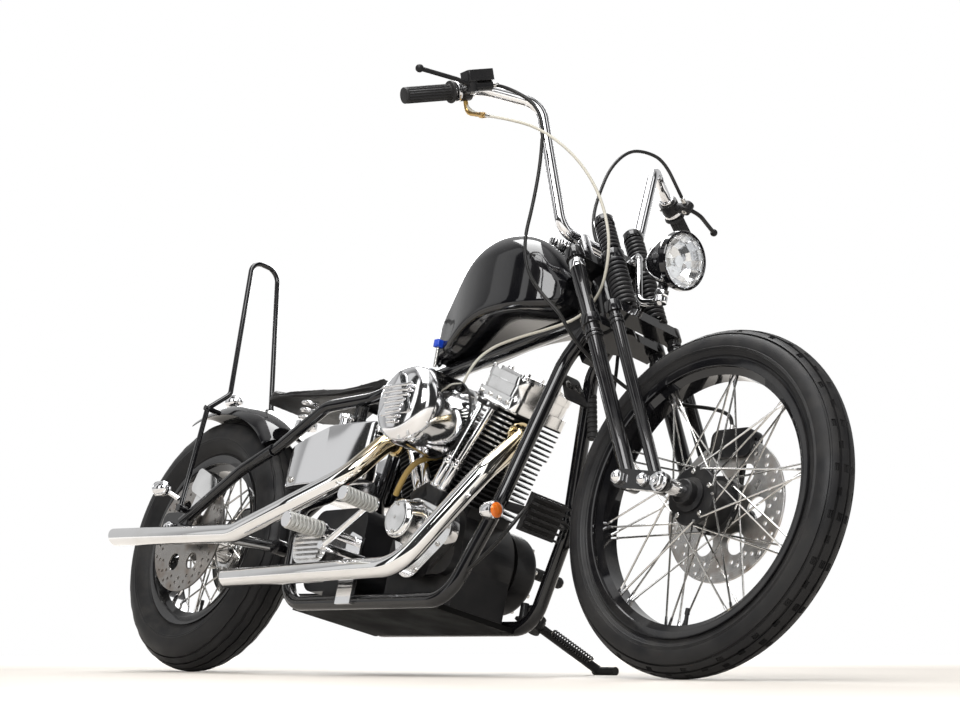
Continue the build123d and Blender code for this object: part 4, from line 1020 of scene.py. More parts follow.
@dataclass(frozen=True)
class GroundSteel(Finish):
    """Brake disc steel with rings from grinding and wear about the axle."""

    axle: tuple[float, float, float] = (0.0, 0.0, 0.0)
    colour: Colour = (0.78, 0.77, 0.76)
    groove: Colour = (0.36, 0.35, 0.34)
    rust: Colour = (0.28, 0.2, 0.14)

    def dress(self, sheet: NodeSheet, shader: Node, coords: NodeSocket) -> None:
        """Lay the steel with its rings and rust.

        Args:
            sheet: The material's tree.
            shader: Its Principled shader.
            coords: Object coordinates.
        """
        away = sheet.away(coords, parked(self.axle))
        rings = sheet.add("TexNoise", {"noise_dimensions": "1D"}, W=away, Scale=900.0, Detail=3.0).outputs[0]
        smudge = GRAIN.mask(sheet, coords, Scale=22.0, Detail=8.0)
        colour = sheet.blend(sheet.spread(rings, 0.35, 0.65, 0.0, 0.5), self.colour, self.groove)
        sheet.fill(shader, Base_Color=sheet.blend(sheet.spread(smudge, 0.52, 0.8), colour, self.rust))
        sheet.fill(shader, Roughness=sheet.spread(smudge, 0.3, 0.7, 0.2, 0.42), Metallic=1.0)
        self.bump(sheet, shader, rings, 0.0002, 0.25)


@dataclass(frozen=True)
class Rubber(Finish):
    """Rubber with a greyish bloom, dust and a fine grain."""

    colour: Colour = (0.014, 0.014, 0.015)
    bloom: Colour = (0.06, 0.057, 0.054)
    bloom_share: float = 0.5
    rough: tuple[float, float] = (0.42, 0.72)
    dust: float = 0.3
    grain: float = 0.25
    shine: float = 0.22
    dust_colour: Colour = (0.16, 0.145, 0.125)

    def dress(self, sheet: NodeSheet, shader: Node, coords: NodeSocket) -> None:
        """Lay the rubber with its bloom, dust and grain.

        Args:
            sheet: The material's tree.
            shader: Its Principled shader.
            coords: Object coordinates.
        """
        patch = GRAIN.mask(sheet, coords, Scale=11.0, Detail=9.0)
        colour = sheet.blend(sheet.spread(patch, 0.4, 0.75, 0.0, self.bloom_share), self.colour, self.bloom)
        dust = DUST.mask(sheet, coords, Amount=self.dust, Scale=30.0)
        sheet.fill(shader, Base_Color=sheet.blend(dust, colour, self.dust_colour))
        rough = sheet.spread(patch, 0.3, 0.7, *self.rough)
        sheet.fill(shader, Roughness=rough, Specular_IOR_Level=self.shine)
        self.bump(sheet, shader, GRAIN.mask(sheet, coords, Scale=700.0, Detail=4.0), 0.0004, self.grain)


@dataclass(frozen=True)
class Leather(Finish):
    """Black leather with a pebbled grain, worn paler where it is sat on."""

    colour: Colour = (0.006, 0.0055, 0.0055)
    worn: Colour = (0.018, 0.016, 0.015)
    shine: float = 0.25

    def dress(self, sheet: NodeSheet, shader: Node, coords: NodeSocket) -> None:
        """Lay the leather with its grain and wear.

        Args:
            sheet: The material's tree.
            shader: Its Principled shader.
            coords: Object coordinates.
        """
        patch = GRAIN.mask(sheet, coords, Scale=13.0, Detail=8.0)
        pebble = sheet.add("TexVoronoi", {"feature": "DISTANCE_TO_EDGE"}, Vector=coords, Scale=420.0)
        crease = sheet.spread(pebble.outputs["Distance"], 0.0, 0.12)
        wear = sheet.work("MULTIPLY", sheet.spread(patch, 0.42, 0.75), crease)
        sheet.fill(shader, Base_Color=sheet.blend(wear, self.colour, self.worn))
        rough = sheet.spread(patch, 0.3, 0.75, 0.32, 0.55)
        sheet.fill(shader, Roughness=rough, Specular_IOR_Level=self.shine)
        fine = GRAIN.mask(sheet, coords, Scale=90.0, Detail=6.0)
        height = sheet.work("ADD", crease, sheet.work("MULTIPLY", fine, 0.8))
        self.bump(sheet, shader, height, 0.0006, 0.5)


@dataclass(frozen=True)
class ClearGlass(Finish):
    """Glass or clear plastic with a faint film of dust."""

    colour: Colour = (0.97, 0.98, 0.98)
    ior: float = 1.45
    solid: float = 0.0

    def dress(self, sheet: NodeSheet, shader: Node, coords: NodeSocket) -> None:
        """Lay the tinted glass.

        Args:
            sheet: The material's tree.
            shader: Its Principled shader.
            coords: Object coordinates.
        """
        film = GRAIN.mask(sheet, coords, Scale=40.0, Detail=8.0)
        tint = tuple(0.8 * part for part in self.colour)
        colour = sheet.blend(sheet.spread(film, 0.5, 0.8, 0.0, 0.4), self.colour, tint)
        rough = sheet.spread(film, 0.4, 0.8, 0.01, 0.1)
        sheet.fill(shader, Base_Color=colour, Roughness=rough)
        sheet.fill(shader, IOR=self.ior, Transmission_Weight=1.0 - self.solid)


GLOSS_BLACK = Paint("gloss black", "gloss_black")
FRAME_BLACK = Paint("frame black", "gloss_black", dust=0.03, wear=0.25, gloss=(0.1, 0.3))
FORK_BLACK = Paint("fork black", "fork_black", (0.006, 0.006, 0.007), (0.08, 0.24), dust=0.06, wear=0.2)
SATIN_BLACK = Paint(
    "satin black", "satin_black", (0.011, 0.011, 0.012), (0.32, 0.5), 0.1, 0.12, 0.25, peel=0.3
)
BELLY_BLACK = Paint(
    "belly black", "gloss_black", (0.006, 0.006, 0.006), (0.5, 0.7), 0.0, 0.02, peel=0.3, shine=0.05
)
RIM_BLACK = Paint("rim black", "gloss_black", (0.005, 0.005, 0.006), (0.07, 0.2), dust=0.1)
SPRING_GREY = Paint(
    "spring grey", "spring_steel", (0.016, 0.016, 0.018), (0.3, 0.48), 0.2, 0.16, 0.2, peel=0.2
)
FRONT_FINS = FinPaint("front fins", "black_fins", (0.01, 0.01, 0.011), (0.4, 0.6), 0.0, 0.1, peel=0.4)
REAR_FINS = replace(FRONT_FINS, name="rear fins", lean=-22.5)
BLUE_KNOB = Paint("blue knob", "gloss_black", (0.01, 0.05, 0.42), (0.15, 0.25), dust=0.0)
CHROME = Metal("chrome", "chrome", (0.86, 0.86, 0.87), (0.03, 0.1), 0.02)
BRIGHT_STEEL = Metal("bright steel", "chrome", (0.66, 0.65, 0.63), (0.12, 0.26), 0.1, 500.0, 0.3)
POLISHED_ALLOY = Metal(
    "polished alloy", "polished_alloy", (0.84, 0.84, 0.84), (0.08, 0.22), 0.06, 340.0, 0.55
)
CAST_ALLOY = Metal("cast alloy", "cast_alloy", (0.42, 0.42, 0.42), (0.34, 0.55), 0.5, 620.0, 0.8)
RIBBED_ALLOY = Metal("ribbed alloy", "chrome", (0.56, 0.56, 0.54), (0.4, 0.55), 0.35, 700.0, 0.5)
FRONT_PIPE_CHROME = HeatedChrome("front pipe chrome", "chrome", (0.86, 0.86, 0.86), (0.03, 0.1), 0.02)
REAR_PIPE_CHROME = replace(FRONT_PIPE_CHROME, name="rear pipe chrome", hot=(790.0, -100.0, 500.0))
FRONT_DISC_STEEL = GroundSteel("front disc steel", "disc_steel", tuple(STANCE.front_axle()))
REAR_DISC_STEEL = GroundSteel("rear disc steel", "disc_steel", tuple(STANCE.rear_axle()), (0.4, 0.38, 0.36))
TYRE_RUBBER = Rubber(
    "tyre rubber", "tyre_rubber", (0.009, 0.009, 0.01), (0.03, 0.029, 0.028), rough=(0.36, 0.62), dust=0.12
)
SOFT_RUBBER = Rubber("soft rubber", "soft_rubber", (0.018, 0.018, 0.019), bloom_share=0.2, dust=0.1)
SEAT_LEATHER = Leather("seat leather", "leather")
LAMP_GLASS = ClearGlass("lamp glass", "lamp_glass")
AMBER_GLASS = ClearGlass("amber glass", "chrome", (0.95, 0.22, 0.02), solid=0.45)
CABLE_BLACK = Rubber(
    "cable black", "cable_black", (0.012, 0.012, 0.012), bloom_share=0.2, rough=(0.25, 0.4), dust=0.1
)
CABLE_CREAM = Rubber(
    "cable cream", "cable_black", (0.5, 0.48, 0.42), (0.4, 0.37, 0.3), rough=(0.3, 0.45), dust=0.05
)
HOSE_AMBER = Rubber(
    "amber hose", "cable_black", (0.3, 0.2, 0.06), (0.36, 0.28, 0.14), rough=(0.25, 0.4), dust=0.1
)
WIRE_RED = Rubber(
    "red wire", "cable_black", (0.4, 0.012, 0.01), (0.3, 0.02, 0.02), rough=(0.3, 0.45), dust=0.02
)
BRASS = Metal("brass", "chrome", (0.56, 0.36, 0.12), (0.2, 0.4), 0.2, 500.0, 0.4)


# One finished object of the motorcycle
class Piece:
    """Shapes with their finishes, which become one object that rides on a body."""

    def __init__(self, name: str, body: Body, *replaces: str) -> None:
        """Start an empty piece.

        Args:
            name: The object's name.
            body: The body it rides on.
            replaces: CAD nodes that it stands for.
        """
        self.name = name
        self.body = body
        self.replaces = replaces
        self.crossing: tuple[Point, Point] | None = None
        self.finishes: list[Finish] = []
        self.shapes: list[BMesh] = []

    def add(self, finish: Finish, *shapes: BMesh) -> "Piece":
        """Add shapes that have one finish.

        Args:
            finish: The finish.
            shapes: The shapes.

        Returns:
            The piece.
        """
        if finish not in self.finishes:
            self.finishes.append(finish)
        for shape in shapes:
            for face in shape.faces:
                face.material_index = self.finishes.index(finish)
            self.shapes.append(shape)
        return self

    def stand(self, smooth: float = 38.0) -> None:
        """Make the object and board it.

        Args:
            smooth: Edges that turn by more degrees than this stay sharp.
        """
        mesh = as_mesh(self.name, moved(joined(self.shapes), PARKED))
        for finish in self.finishes:
            mesh.materials.append(finish.material())
        mesh.polygons.foreach_set("use_smooth", [True] * len(mesh.polygons))
        mesh.set_sharp_from_angle(angle=math.radians(smooth))
        self.board(linked(self.name, mesh))

    def board(self, made: Object) -> None:
        """Let an object ride on the piece's body, or bake it in place if it crosses between bodies, and hide
        the nodes that it stands for.

        Args:
            made: The object.
        """
        if self.crossing:
            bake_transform(made)
        else:
            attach(made, self.body.value)
        if self.replaces:
            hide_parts(*self.replaces)
        LOG.info("%s: %d faces on %s", made.name, len(made.data.polygons), self.body.value)


# CAD pieces that keep their shape
@dataclass(frozen=True)
class CarriedOver:
    """Pieces whose solids are right as they are: they get a finish and softened edges."""

    rounding: float = 0.0008

    def rows(self) -> dict[Finish, tuple[str, ...]]:
        """Sort the CAD nodes by finish.

        Returns:
            The nodes of each finish.
        """
        return {
            FRAME_BLACK: ("neck_backbone", "cradle_right", "cradle_left", "swingarm", "sissy_bar"),
            GLOSS_BLACK: ("rear_fender", "fuel_tank"),
            FORK_BLACK: ("rigid_fork", "spring_legs", "spring_perch", "rockers"),
            SATIN_BLACK: (
                "front_caliper", "left_bar_control", "right_bar_control", "regulator", "side_stand",
                "stand_bracket", "primary_cover", "gearbox", "crankcase",
            ),
            BELLY_BLACK: ("crossmembers",),
            CHROME: (
                "handlebar", "headlamp_bracket", "front_axle", "rear_axle", "tail_lamp", "rear_signals",
                "front_signals", "pushrod_tubes", "right_controls", "left_controls", "seat_springs",
            ),
            POLISHED_ALLOY: (
                "rear_caliper", "cam_cover", "front_rocker_box", "rear_rocker_box", "gearbox_cover",
            ),
            CAST_ALLOY: ("carburettor", "rear_pulley"),
            FRONT_FINS: ("front_cylinder",),
            REAR_FINS: ("rear_cylinder",),
            FRONT_PIPE_CHROME: ("front_exhaust",),
            REAR_PIPE_CHROME: ("rear_exhaust",),
            FRONT_DISC_STEEL: ("front_disc",),
            REAR_DISC_STEEL: ("rear_disc",),
            SOFT_RUBBER: ("drive_belt",),
        }

    def build(self) -> None:
        """Dress the nodes."""
        for finish, names in self.rows().items():
            for name in names:
                node = frame["nodes"][name]
                node.data.materials.clear()
                node.data.materials.append(finish.material())
                weld = node.modifiers.new("weld", "WELD")
                weld.merge_threshold = 0.00002
                soft = node.modifiers.new("soft edges", "BEVEL")
                soft.width = self.rounding
                soft.segments = 2
                soft.limit_method = "ANGLE"
                soft.angle_limit = math.radians(40.0)
                LOG.info("%s: carried over in %s", name, finish.name)


# Wheels
@dataclass(frozen=True)
class TyreTread:
    """A tyre: its section, the grooves round its crown and the notches in its ribs."""

    node: str
    body: Body
    axle: Vector
    radius: float
    crown: float
    bead_radius: float
    bead_half: float
    flange_radius: float
    grooves: tuple[float, ...]
    groove_half: float
    groove_depth: float
    zigzag: float
    notches: int
    side_lines: tuple[float, ...]
    steps: int = 144
    lip: float = 4.0
    line_depth: float = 0.8

    def section(self) -> list[tuple[float, float]]:
        """Draw the tyre's section.

        Returns:
            Closed section as radius and distance to the left.
        """
        start = self.radius - self.crown
        foot = self.flange_radius + self.lip
        half = math.degrees(self.groove_half / self.crown)
        marks: list[tuple[float, float]] = [(float(turn), 0.0) for turn in range(0, 181, 5)]
        for groove in self.grooves:
            marks = [mark for mark in marks if abs(mark[0] - groove) > 1.6 * half]
            for offset, depth in ((-1.15, 0.0), (-0.85, 1.0), (0.85, 1.0), (1.15, 0.0)):
                marks.append((groove + offset * half, depth * self.groove_depth))
        crown = []
        for turn, depth in sorted(marks):
            reach = self.crown - depth
            crown.append((start + reach * math.sin(math.radians(turn)), reach * math.cos(math.radians(turn))))
        flank = []
        for share in [step / 24 for step in range(1, 25)]:
            level = start + (foot - start) * share
            pull = (self.crown - self.bead_half) * share**1.7
            mark = 1.0 if any(abs(share - line) < 0.021 for line in self.side_lines) else 0.0
            flank.append((level, self.crown - pull + mark * self.line_depth))
        right = [(level, -side) for level, side in flank]
        bead = [(self.bead_radius, -self.bead_half), (self.bead_radius, self.bead_half)]
        return [*crown, *right, *bead, *reversed(flank)]

    def build(self) -> None:
        """Turn the section, bend the grooves and cut the notches."""
        shape = turned(self.section(), facing((0, 0, 0), (0, 0, 1)), closed=True, steps=self.steps)
        band = self.crown * math.cos(math.radians(min(self.grooves) - 4.0))
        tooth = math.tau / self.steps
        for corner in shape.verts:
            if self.zigzag and abs(corner.co.z) < band and corner.co.xy.length > self.radius - self.crown:
                step = round(math.atan2(corner.co.y, corner.co.x) / tooth)
                corner.co.z += self.zigzag * (1 if step % 4 < 2 else -1)
        if self.notches:
            self.cut_notches(shape, tooth)
        place = facing(self.axle, (0.0, 1.0, 0.0))
        Piece(f"{self.node}_tread", self.body, self.node).add(TYRE_RUBBER, moved(shape, place)).stand(30.0)

    def cut_notches(self, shape: BMesh, tooth: float) -> None:
        """Sink short notches across the ribs.

        Args:
            shape: The turned tyre, about Z.
            tooth: Angle of one face round the tyre.
        """
        deep = self.radius - self.crown + self.crown * 0.72
        chosen = []
        for face in shape.faces:
            middle = face.calc_center_median()
            step = math.floor(math.atan2(middle.y, middle.x) / tooth)
            row = round(middle.z / 9.0)
            if middle.xy.length > deep and abs(face.normal.z) < 0.75 and (step + 3 * row) % self.notches == 0:
                chosen.append(face)
        bmesh.ops.inset_individual(shape, faces=chosen, thickness=1.2, depth=-2.4)


@dataclass(frozen=True)
class LacedWheel:
    """Rim, hub, crossed spokes with their nipples, and the valve."""

    node: str
    body: Body
    axle: Vector
    bead_radius: float
    bead_half: float
    flange_radius: float
    well_radius: float
    hub_radius: float
    hub_half: float
    flange_half: float
    barrel: float
    cross: float
    wire: float
    hub_finish: Finish
    spokes: int = 40
    wall: float = 4.5
    gap: float = 0.3
    boss: float = 25.0
    bore: float = 9.8
    spread: float = 7.0

    def rim(self) -> BMesh:
        """Make the drop-centre rim, with rolled flanges.

        Returns:
            A closed ring.
        """
        seat = self.bead_radius - self.gap
        flange = self.bead_half + self.gap
        well = self.bead_half * 0.55
        half = [
            (self.flange_radius, flange + self.wall), (self.flange_radius + 1.0, flange + self.wall / 2),
            (self.flange_radius, flange), (seat, flange), (seat, well + self.wall), (self.well_radius, well),
        ]
        back = [
            (self.well_radius - self.wall, well + self.wall / 2), (seat - self.wall, well + self.wall * 2),
            (seat - self.wall, flange + self.wall * 0.7), (seat - self.wall * 0.4, flange + self.wall),
        ]
        outline = [*half, *mirrored(half), *mirrored(back), *back]
        return turned(outline, facing(self.axle, (0, 1, 0)), closed=True, steps=120)

    def hub(self) -> BMesh:
        """Make the hub with its two spoke flanges and stepped bosses.

        Returns:
            A closed hub.
        """
        face = self.flange_half + self.wall
        back = self.flange_half - self.wall
        half = [
            (self.bore, self.hub_half), (self.boss - 2, self.hub_half), (self.boss, self.hub_half - 2),
            (self.boss, self.flange_half + 14), (self.boss + 9, self.flange_half + 11), (self.boss + 9, face),
            (self.hub_radius - 2, face), (self.hub_radius, face - 2), (self.hub_radius, back + 1),
            (self.barrel + 4, back), (self.barrel, back - 6),
        ]
        return turned([*half, *mirrored(half)], facing(self.axle, (0, 1, 0)), closed=True, steps=64)

    def lacing(self) -> tuple[list[BMesh], list[BMesh]]:
        """Lace the wheel.

        Returns:
            Spokes and nipples.
        """
        wires, nipples = [], []
        near = self.hub_radius - self.wall
        for number in range(self.spokes):
            side = 1 if number % 2 else -1
            pair = number // 2
            turn = math.radians(self.cross if pair % 2 else -self.cross)
            angle = math.radians(pair * 720 / self.spokes + (180 / self.spokes if side == 1 else 0))
            outer = side * (self.flange_half + (self.wall if pair % 4 < 2 else -self.wall) * 0.9)
            start = self.axle + Vector((near * math.cos(angle), outer, near * math.sin(angle)))
            reach = self.well_radius - self.wall
            far = Vector((math.cos(angle + turn), 0.0, math.sin(angle + turn)))
            end = self.axle + far * reach + Vector((0.0, side * self.spread, 0.0))
            back = (start - end).normalized()
            head = Vector((0.0, 2.4, 0.0))
            wires.append(rod(start, end, self.wire, sides=8))
            wires.append(rod(start - head, start + head, self.wire * 1.5, sides=8))
            foot, neck = end - back * 1.5, end + back * 17.0
            nipples.append(rod(foot, neck, self.wire * 1.7, self.wire * 1.35, sides=8))
        return wires, nipples

    def build(self) -> None:
        """Make the wheel as one piece with its three finishes."""
        wires, nipples = self.lacing()
        piece = Piece(f"{self.node}_laced", self.body, self.node).add(RIM_BLACK, self.rim())
        piece.add(self.hub_finish, self.hub()).add(BRIGHT_STEEL, *wires).add(CHROME, *nipples)
        low = self.axle - Vector((0.0, 0.0, self.well_radius - self.wall))
        neck, cap = (low + Vector((0.0, 0.0, height)) for height in (26.0, 38.0))
        piece.add(SOFT_RUBBER, rod(low, neck, 4.5, 3.8, 14), rod(neck, cap, 5.0, 4.4, 14))
        for side in (-1, 1):
            face = self.axle + Vector((0.0, side * (self.flange_half + self.wall), 0.0))
            spots = ring_places(face, (0, side, 0), self.boss + 22, 5, 20.0)
            piece.add(BRIGHT_STEEL, *[cap_screw(spot, (0, side, 0), 5.0, 4.0) for spot in spots])
        piece.stand()


# Handlebar
@dataclass(frozen=True)
class BarEnd:
    """One end of the handlebar and the places that follow from its bends."""

    side: Side
    bar_up: float = 720.0
    grip_length: float = 118.0
    bends: tuple[tuple[float, float, float], ...] = (
        (0.0, 108.0, 2.0), (79.0, 182.0, 277.0), (16.0, 288.0, 317.0), (-57.5, 455.0, 264.0),
    )

    def bend(self, number: int) -> Vector:
        """One of the bar's bends, counted from its middle outwards."""
        ahead, out, above = self.bends[number]
        return STANCE.fork(ahead, self.side.value * out, self.bar_up + above)

    def way(self) -> Vector:
        """Direction inwards along the grip."""
        return (self.bend(2) - self.bend(3)).normalized()

    def clamp(self) -> Vector:
        """Where the grip ends and the control's clamp begins."""
        return self.bend(3) + self.way() * (self.grip_length + 2.0)

    def ahead(self) -> Vector:
        """Direction ahead, square to the grip."""
        return (Vector((1.0, 0.0, 0.0)) - self.way() * self.way().x).normalized()

    def lift(self) -> Vector:
        """Direction up, square to the grip."""
        return self.way().cross(self.ahead()) * self.side.value

    def pivot(self) -> Vector:
        """Middle of the lever's pivot."""
        return self.clamp() + self.ahead() * 46.0 + self.way() * 16.0


RIGHT_END = BarEnd(Side.RIGHT)
LEFT_END = BarEnd(Side.LEFT)


@dataclass(frozen=True)
class HandControls:
    """Fluted grips, bright collars, the throttle elbow and the reservoir's lid."""

    grip_radius: float = 17.8
    flange_radius: float = 24.5
    flutes: int = 18
    flute_depth: float = 1.7
    bar_radius: float = 12.7
    lid: tuple[float, float] = (28.0, 16.0)

    def grips(self) -> None:
        """Rubber grips with a flange at the inner end."""
        piece = Piece("fluted_grips", Body.FORK, "grips")
        for end in (RIGHT_END, LEFT_END):
            way = end.way()
            start = end.bend(3) - way * 6.0
            inner = start + way * end.grip_length
            ends = start + way * 6.0, inner - way * 10.0
            piece.add(
                SOFT_RUBBER,
                fluted(*ends, self.grip_radius, self.flute_depth, self.flutes),
                rod(start, start + way * 6.5, self.grip_radius, rim=2.0),
                rod(inner - way * 10.5, inner - way * 5.5, self.grip_radius, rim=0.8),
                rod(inner - way * 6.0, inner, self.flange_radius, rim=2.0, sides=40),
            )
        piece.stand()

    def fittings(self) -> None:
        """Collars on the bar, the throttle's elbow, pivot screws and the reservoir's lid."""
        piece = Piece("bar_fittings", Body.FORK)
        for end in (RIGHT_END, LEFT_END):
            way, lift, ahead = end.way(), end.lift(), end.ahead()
            clamp = end.clamp()
            collar = clamp + way * 34.0
            piece.add(CHROME, rod(collar, collar + way * 9.0, self.bar_radius + 4.0, rim=1.0))
            piece.add(CHROME, rod(clamp - way * 1.5, clamp + way * 7.0, self.bar_radius + 10.2, rim=1.2))
            for turn in (1.0, -1.0):
                piece.add(BRIGHT_STEEL, cap_screw(end.pivot() + lift * 12.0 * turn, lift * turn, 6.0, 4.0))
            strap = clamp + way * 17.0 - ahead * 21.5
            for shift in (-8.0, 8.0):
                piece.add(BRIGHT_STEEL, cap_screw(strap + lift * shift, -ahead, 3.6, 3.0))
        way, lift, ahead = RIGHT_END.way(), RIGHT_END.lift(), RIGHT_END.ahead()
        top = RIGHT_END.pivot() + lift * 32.4 - ahead * 4.0 + way * 20.0
        piece.add(SATIN_BLACK, plate(oblong(*self.lid), 2.0, facing(top, lift, way), 5.0, 0.6))
        spots = [top + way * x + lift.cross(way) * y + lift * 2.0 for x, y in ((-20, -10), (20, 10))]
        piece.add(BRIGHT_STEEL, *[cap_screw(spot, lift, 3.0, 1.0) for spot in spots])
        throttle = THROTTLE_CABLE.places
        away = (Vector(throttle[2]) - Vector(throttle[1])).normalized()
        corner = Vector(throttle[1])
        piece.add(BRASS, bent_tube((throttle[0], corner, corner + away * 58.0), 5.2, (16.0,), 14))
        piece.add(BRASS, rod(corner + away * 40.0, corner + away * 52.0, 7.2, sides=6, rim=0.8))
        piece.add(BRIGHT_STEEL, rod(corner + away * 58.0, corner + away * 72.0, 4.4, 3.6))
        piece.stand()

    def build(self) -> None:
        """Make the grips and the fittings."""
        self.grips()
        self.fittings()


# Cables and hoses
@dataclass(frozen=True)
class Cable:
    """A cable along the places it is led through; one given a crossing between two places is baked in place
    and rides on no body.
    """

    name: str
    finish: Finish
    node: str
    radius: float
    places: tuple[Point, ...]
    crossing: tuple[Point, Point] | None = None

    def build(self) -> None:
        """Sweep the cable, with a ferrule at each end."""
        piece = Piece(self.name, Body.FORK, self.node)
        piece.crossing = self.crossing
        piece.add(self.finish, swept(self.places, self.radius))
        for first, second in ((0, 1), (-1, -2)):
            start = Vector(self.places[first])
            way = (Vector(self.places[second]) - start).normalized()
            piece.add(BRIGHT_STEEL, rod(start, start + way * 17.0, self.radius + 1.2, rim=0.6, sides=16))
        piece.stand()


THROTTLE_EXIT = RIGHT_END.clamp() + RIGHT_END.way() * 22.0 - RIGHT_END.lift() * 22.3
THROTTLE_CABLE = Cable(
    "throttle_cable", CABLE_CREAM, "control_cables", 3.2,
    (
        THROTTLE_EXIT, THROTTLE_EXIT - RIGHT_END.lift() * 26.0, (1205, -292, 1128), (1257, -236, 1119),
        (1317, -178, 1069), (1360, -136, 998), (1383, -112, 924), (1385, -98, 868), (1366, -80, 820),
        (1339, -64, 794), (1311, -58, 773), (1276, -56, 750), (1209, -60, 737), (1114, -66, 726),
        (1029, -76, 706), (978, -82, 660), (962, -84, 592),
    ),
    ((1339, -64, 794), (1289, -65, 660)),
)
CLUTCH_EXIT = LEFT_END.pivot() + LEFT_END.way() * 13.3
CLUTCH_CABLE = Cable(
    "clutch_cable", CABLE_BLACK, "control_cables", 4.0,
    (
        CLUTCH_EXIT, CLUTCH_EXIT + LEFT_END.way() * 30.0, (1122, 262, 1284), (1107, 214, 1290),
        (1098, 166, 1273), (1094, 124, 1213), (1104, 96, 1134), (1114, 80, 1070), (1136, 76, 1012),
        (1172, 84, 958), (1206, 100, 890), (1226, 112, 806), (1236, 116, 722), (1240, 116, 638),
        (1236, 122, 554), (1214, 132, 478), (1170, 142, 414), (1112, 148, 372), (1052, 148, 346),
    ),
    ((1172, 84, 958), (1240, 116, 638)),
)
HOSE_EXIT = RIGHT_END.pivot() + RIGHT_END.way() * 48.3
HOSE_ON_FORK = (
    (104, -208, 950), (52, -190, 848), (0, -186, 759), (-46, -184, 694), (-63, -176, 621), (-51, -156, 555),
    (-38, -130, 512), (-44, -104, 470), (-46, -60, 430), (-42, -10, 404), (-34, 36, 372), (-8, 60, 336),
    (34, 64, 310),
)
BRAKE_HOSE = Cable(
    "front_brake_hose", CABLE_BLACK, "brake_hose", 4.0,
    (
        HOSE_EXIT, HOSE_EXIT + RIGHT_END.way() * 30.0, *[STANCE.fork(*place) for place in HOSE_ON_FORK],
        (1512, 66, 574), (1562, 67, 566), (1606, 69, 556), (1640, 72, 538.6), (1640, 72, 506.6),
    ),
)


# Headlamp
@dataclass(frozen=True)
class Headlamp:
    """Black bucket with a faceted reflector, a bulb and a clear lens."""

    radius: float = 62.0
    depth: float = 96.0
    droop: float = math.radians(5.0)
    ahead: float = 168.0
    up: float = 559.0
    facets: int = 16

    def place(self) -> Matrix:
        """Matrix from the middle of the lamp's front, with Z out of the lamp and X up."""
        way = Vector((math.cos(self.droop), 0.0, -math.sin(self.droop)))
        return facing(STANCE.fork(self.ahead, 0.0, self.up) + way * (self.depth / 2), way, (0.0, 0.0, 1.0))

    def bucket(self) -> None:
        """The bucket with its rim, foot and nut."""
        place = self.place()
        back, rim = -self.depth, self.radius
        outline = (
            (0.0, back), (15.0, back + 1.5), (29.0, back + 8.0), (41.0, back + 25.0), (50.0, back + 44.0),
            (56.0, back + 64.0), (rim - 4.0, -20.0), (rim, -15.0), (rim, -2.0), (rim - 1.5, 0.0),
            (rim - 4.0, 0.0), (rim - 5.5, -3.0), (rim - 5.5, -17.0), (50.0, -35.0), (38.0, -51.0),
            (24.0, -61.0), (0.0, -66.0),
        )
        piece = Piece("headlamp_bucket", Body.FORK, "headlamp").add(GLOSS_BLACK, turned(outline, place))
        foot = [place @ Vector((-level, 0.0, -self.depth / 2)) for level in (48.0, 62.0, 76.0)]
        piece.add(GLOSS_BLACK, rod(foot[0], foot[2], 11.0, rim=1.0))
        piece.add(CHROME, rod(foot[1], foot[2], 15.0, sides=6, rim=1.2))
        screw = place @ Vector((0.0, -rim, -8.0))
        piece.add(BRIGHT_STEEL, cap_screw(screw, place.to_3x3() @ Vector((0.0, -1.0, 0.0)), 3.2, 2.0))
        piece.stand(30.0)

    def reflector(self) -> None:
        """The faceted bowl and the bulb in its holder."""
        place = self.place()
        bowl = ((56.3, -6.0), (55.0, -15.0), (48.0, -30.0), (36.0, -45.0), (22.0, -54.0), (0.0, -58.0))
        back = ((0.0, -60.0), (22.5, -56.0), (36.8, -46.5), (49.0, -31.0), (56.3, -16.0))
        piece = Piece("headlamp_reflector", Body.FORK)
        piece.add(CHROME, turned((*bowl, *back), place, True, self.facets))
        holder = [place @ Vector((0.0, 0.0, along)) for along in (-58.0, -44.0)]
        piece.add(BRIGHT_STEEL, rod(*holder, 11.0, 8.0))
        bulb = ((0.0, -45.0), (6.5, -44.0), (7.5, -34.0), (6.0, -26.0), (3.0, -23.0), (0.0, -22.5))
        piece.add(LAMP_GLASS, turned(bulb, place, steps=20))
        shield = ((0.0, -17.0), (12.0, -18.5), (12.0, -20.0), (0.0, -18.5))
        piece.add(CHROME, turned(shield, place, steps=20))
        piece.stand(4.0)

    def lens(self) -> None:
        """The clear lens, domed and hollow."""
        outer = ((55.7, -7.7), (55.7, -2.0), (50.0, 0.2), (38.0, 2.6), (22.0, 4.2), (0.0, 5.0))
        inner = ((0.0, 2.2), (22.0, 1.4), (38.0, -0.2), (50.0, -2.6), (52.9, -3.8), (52.9, -7.7))
        shape = turned((*outer, *inner), self.place(), True)
        Piece("clear_lens", Body.FORK, "headlamp_lens").add(LAMP_GLASS, shape).stand(30.0)

    def build(self) -> None:
        """Make the lamp."""
        self.bucket()
        self.reflector()
        self.lens()


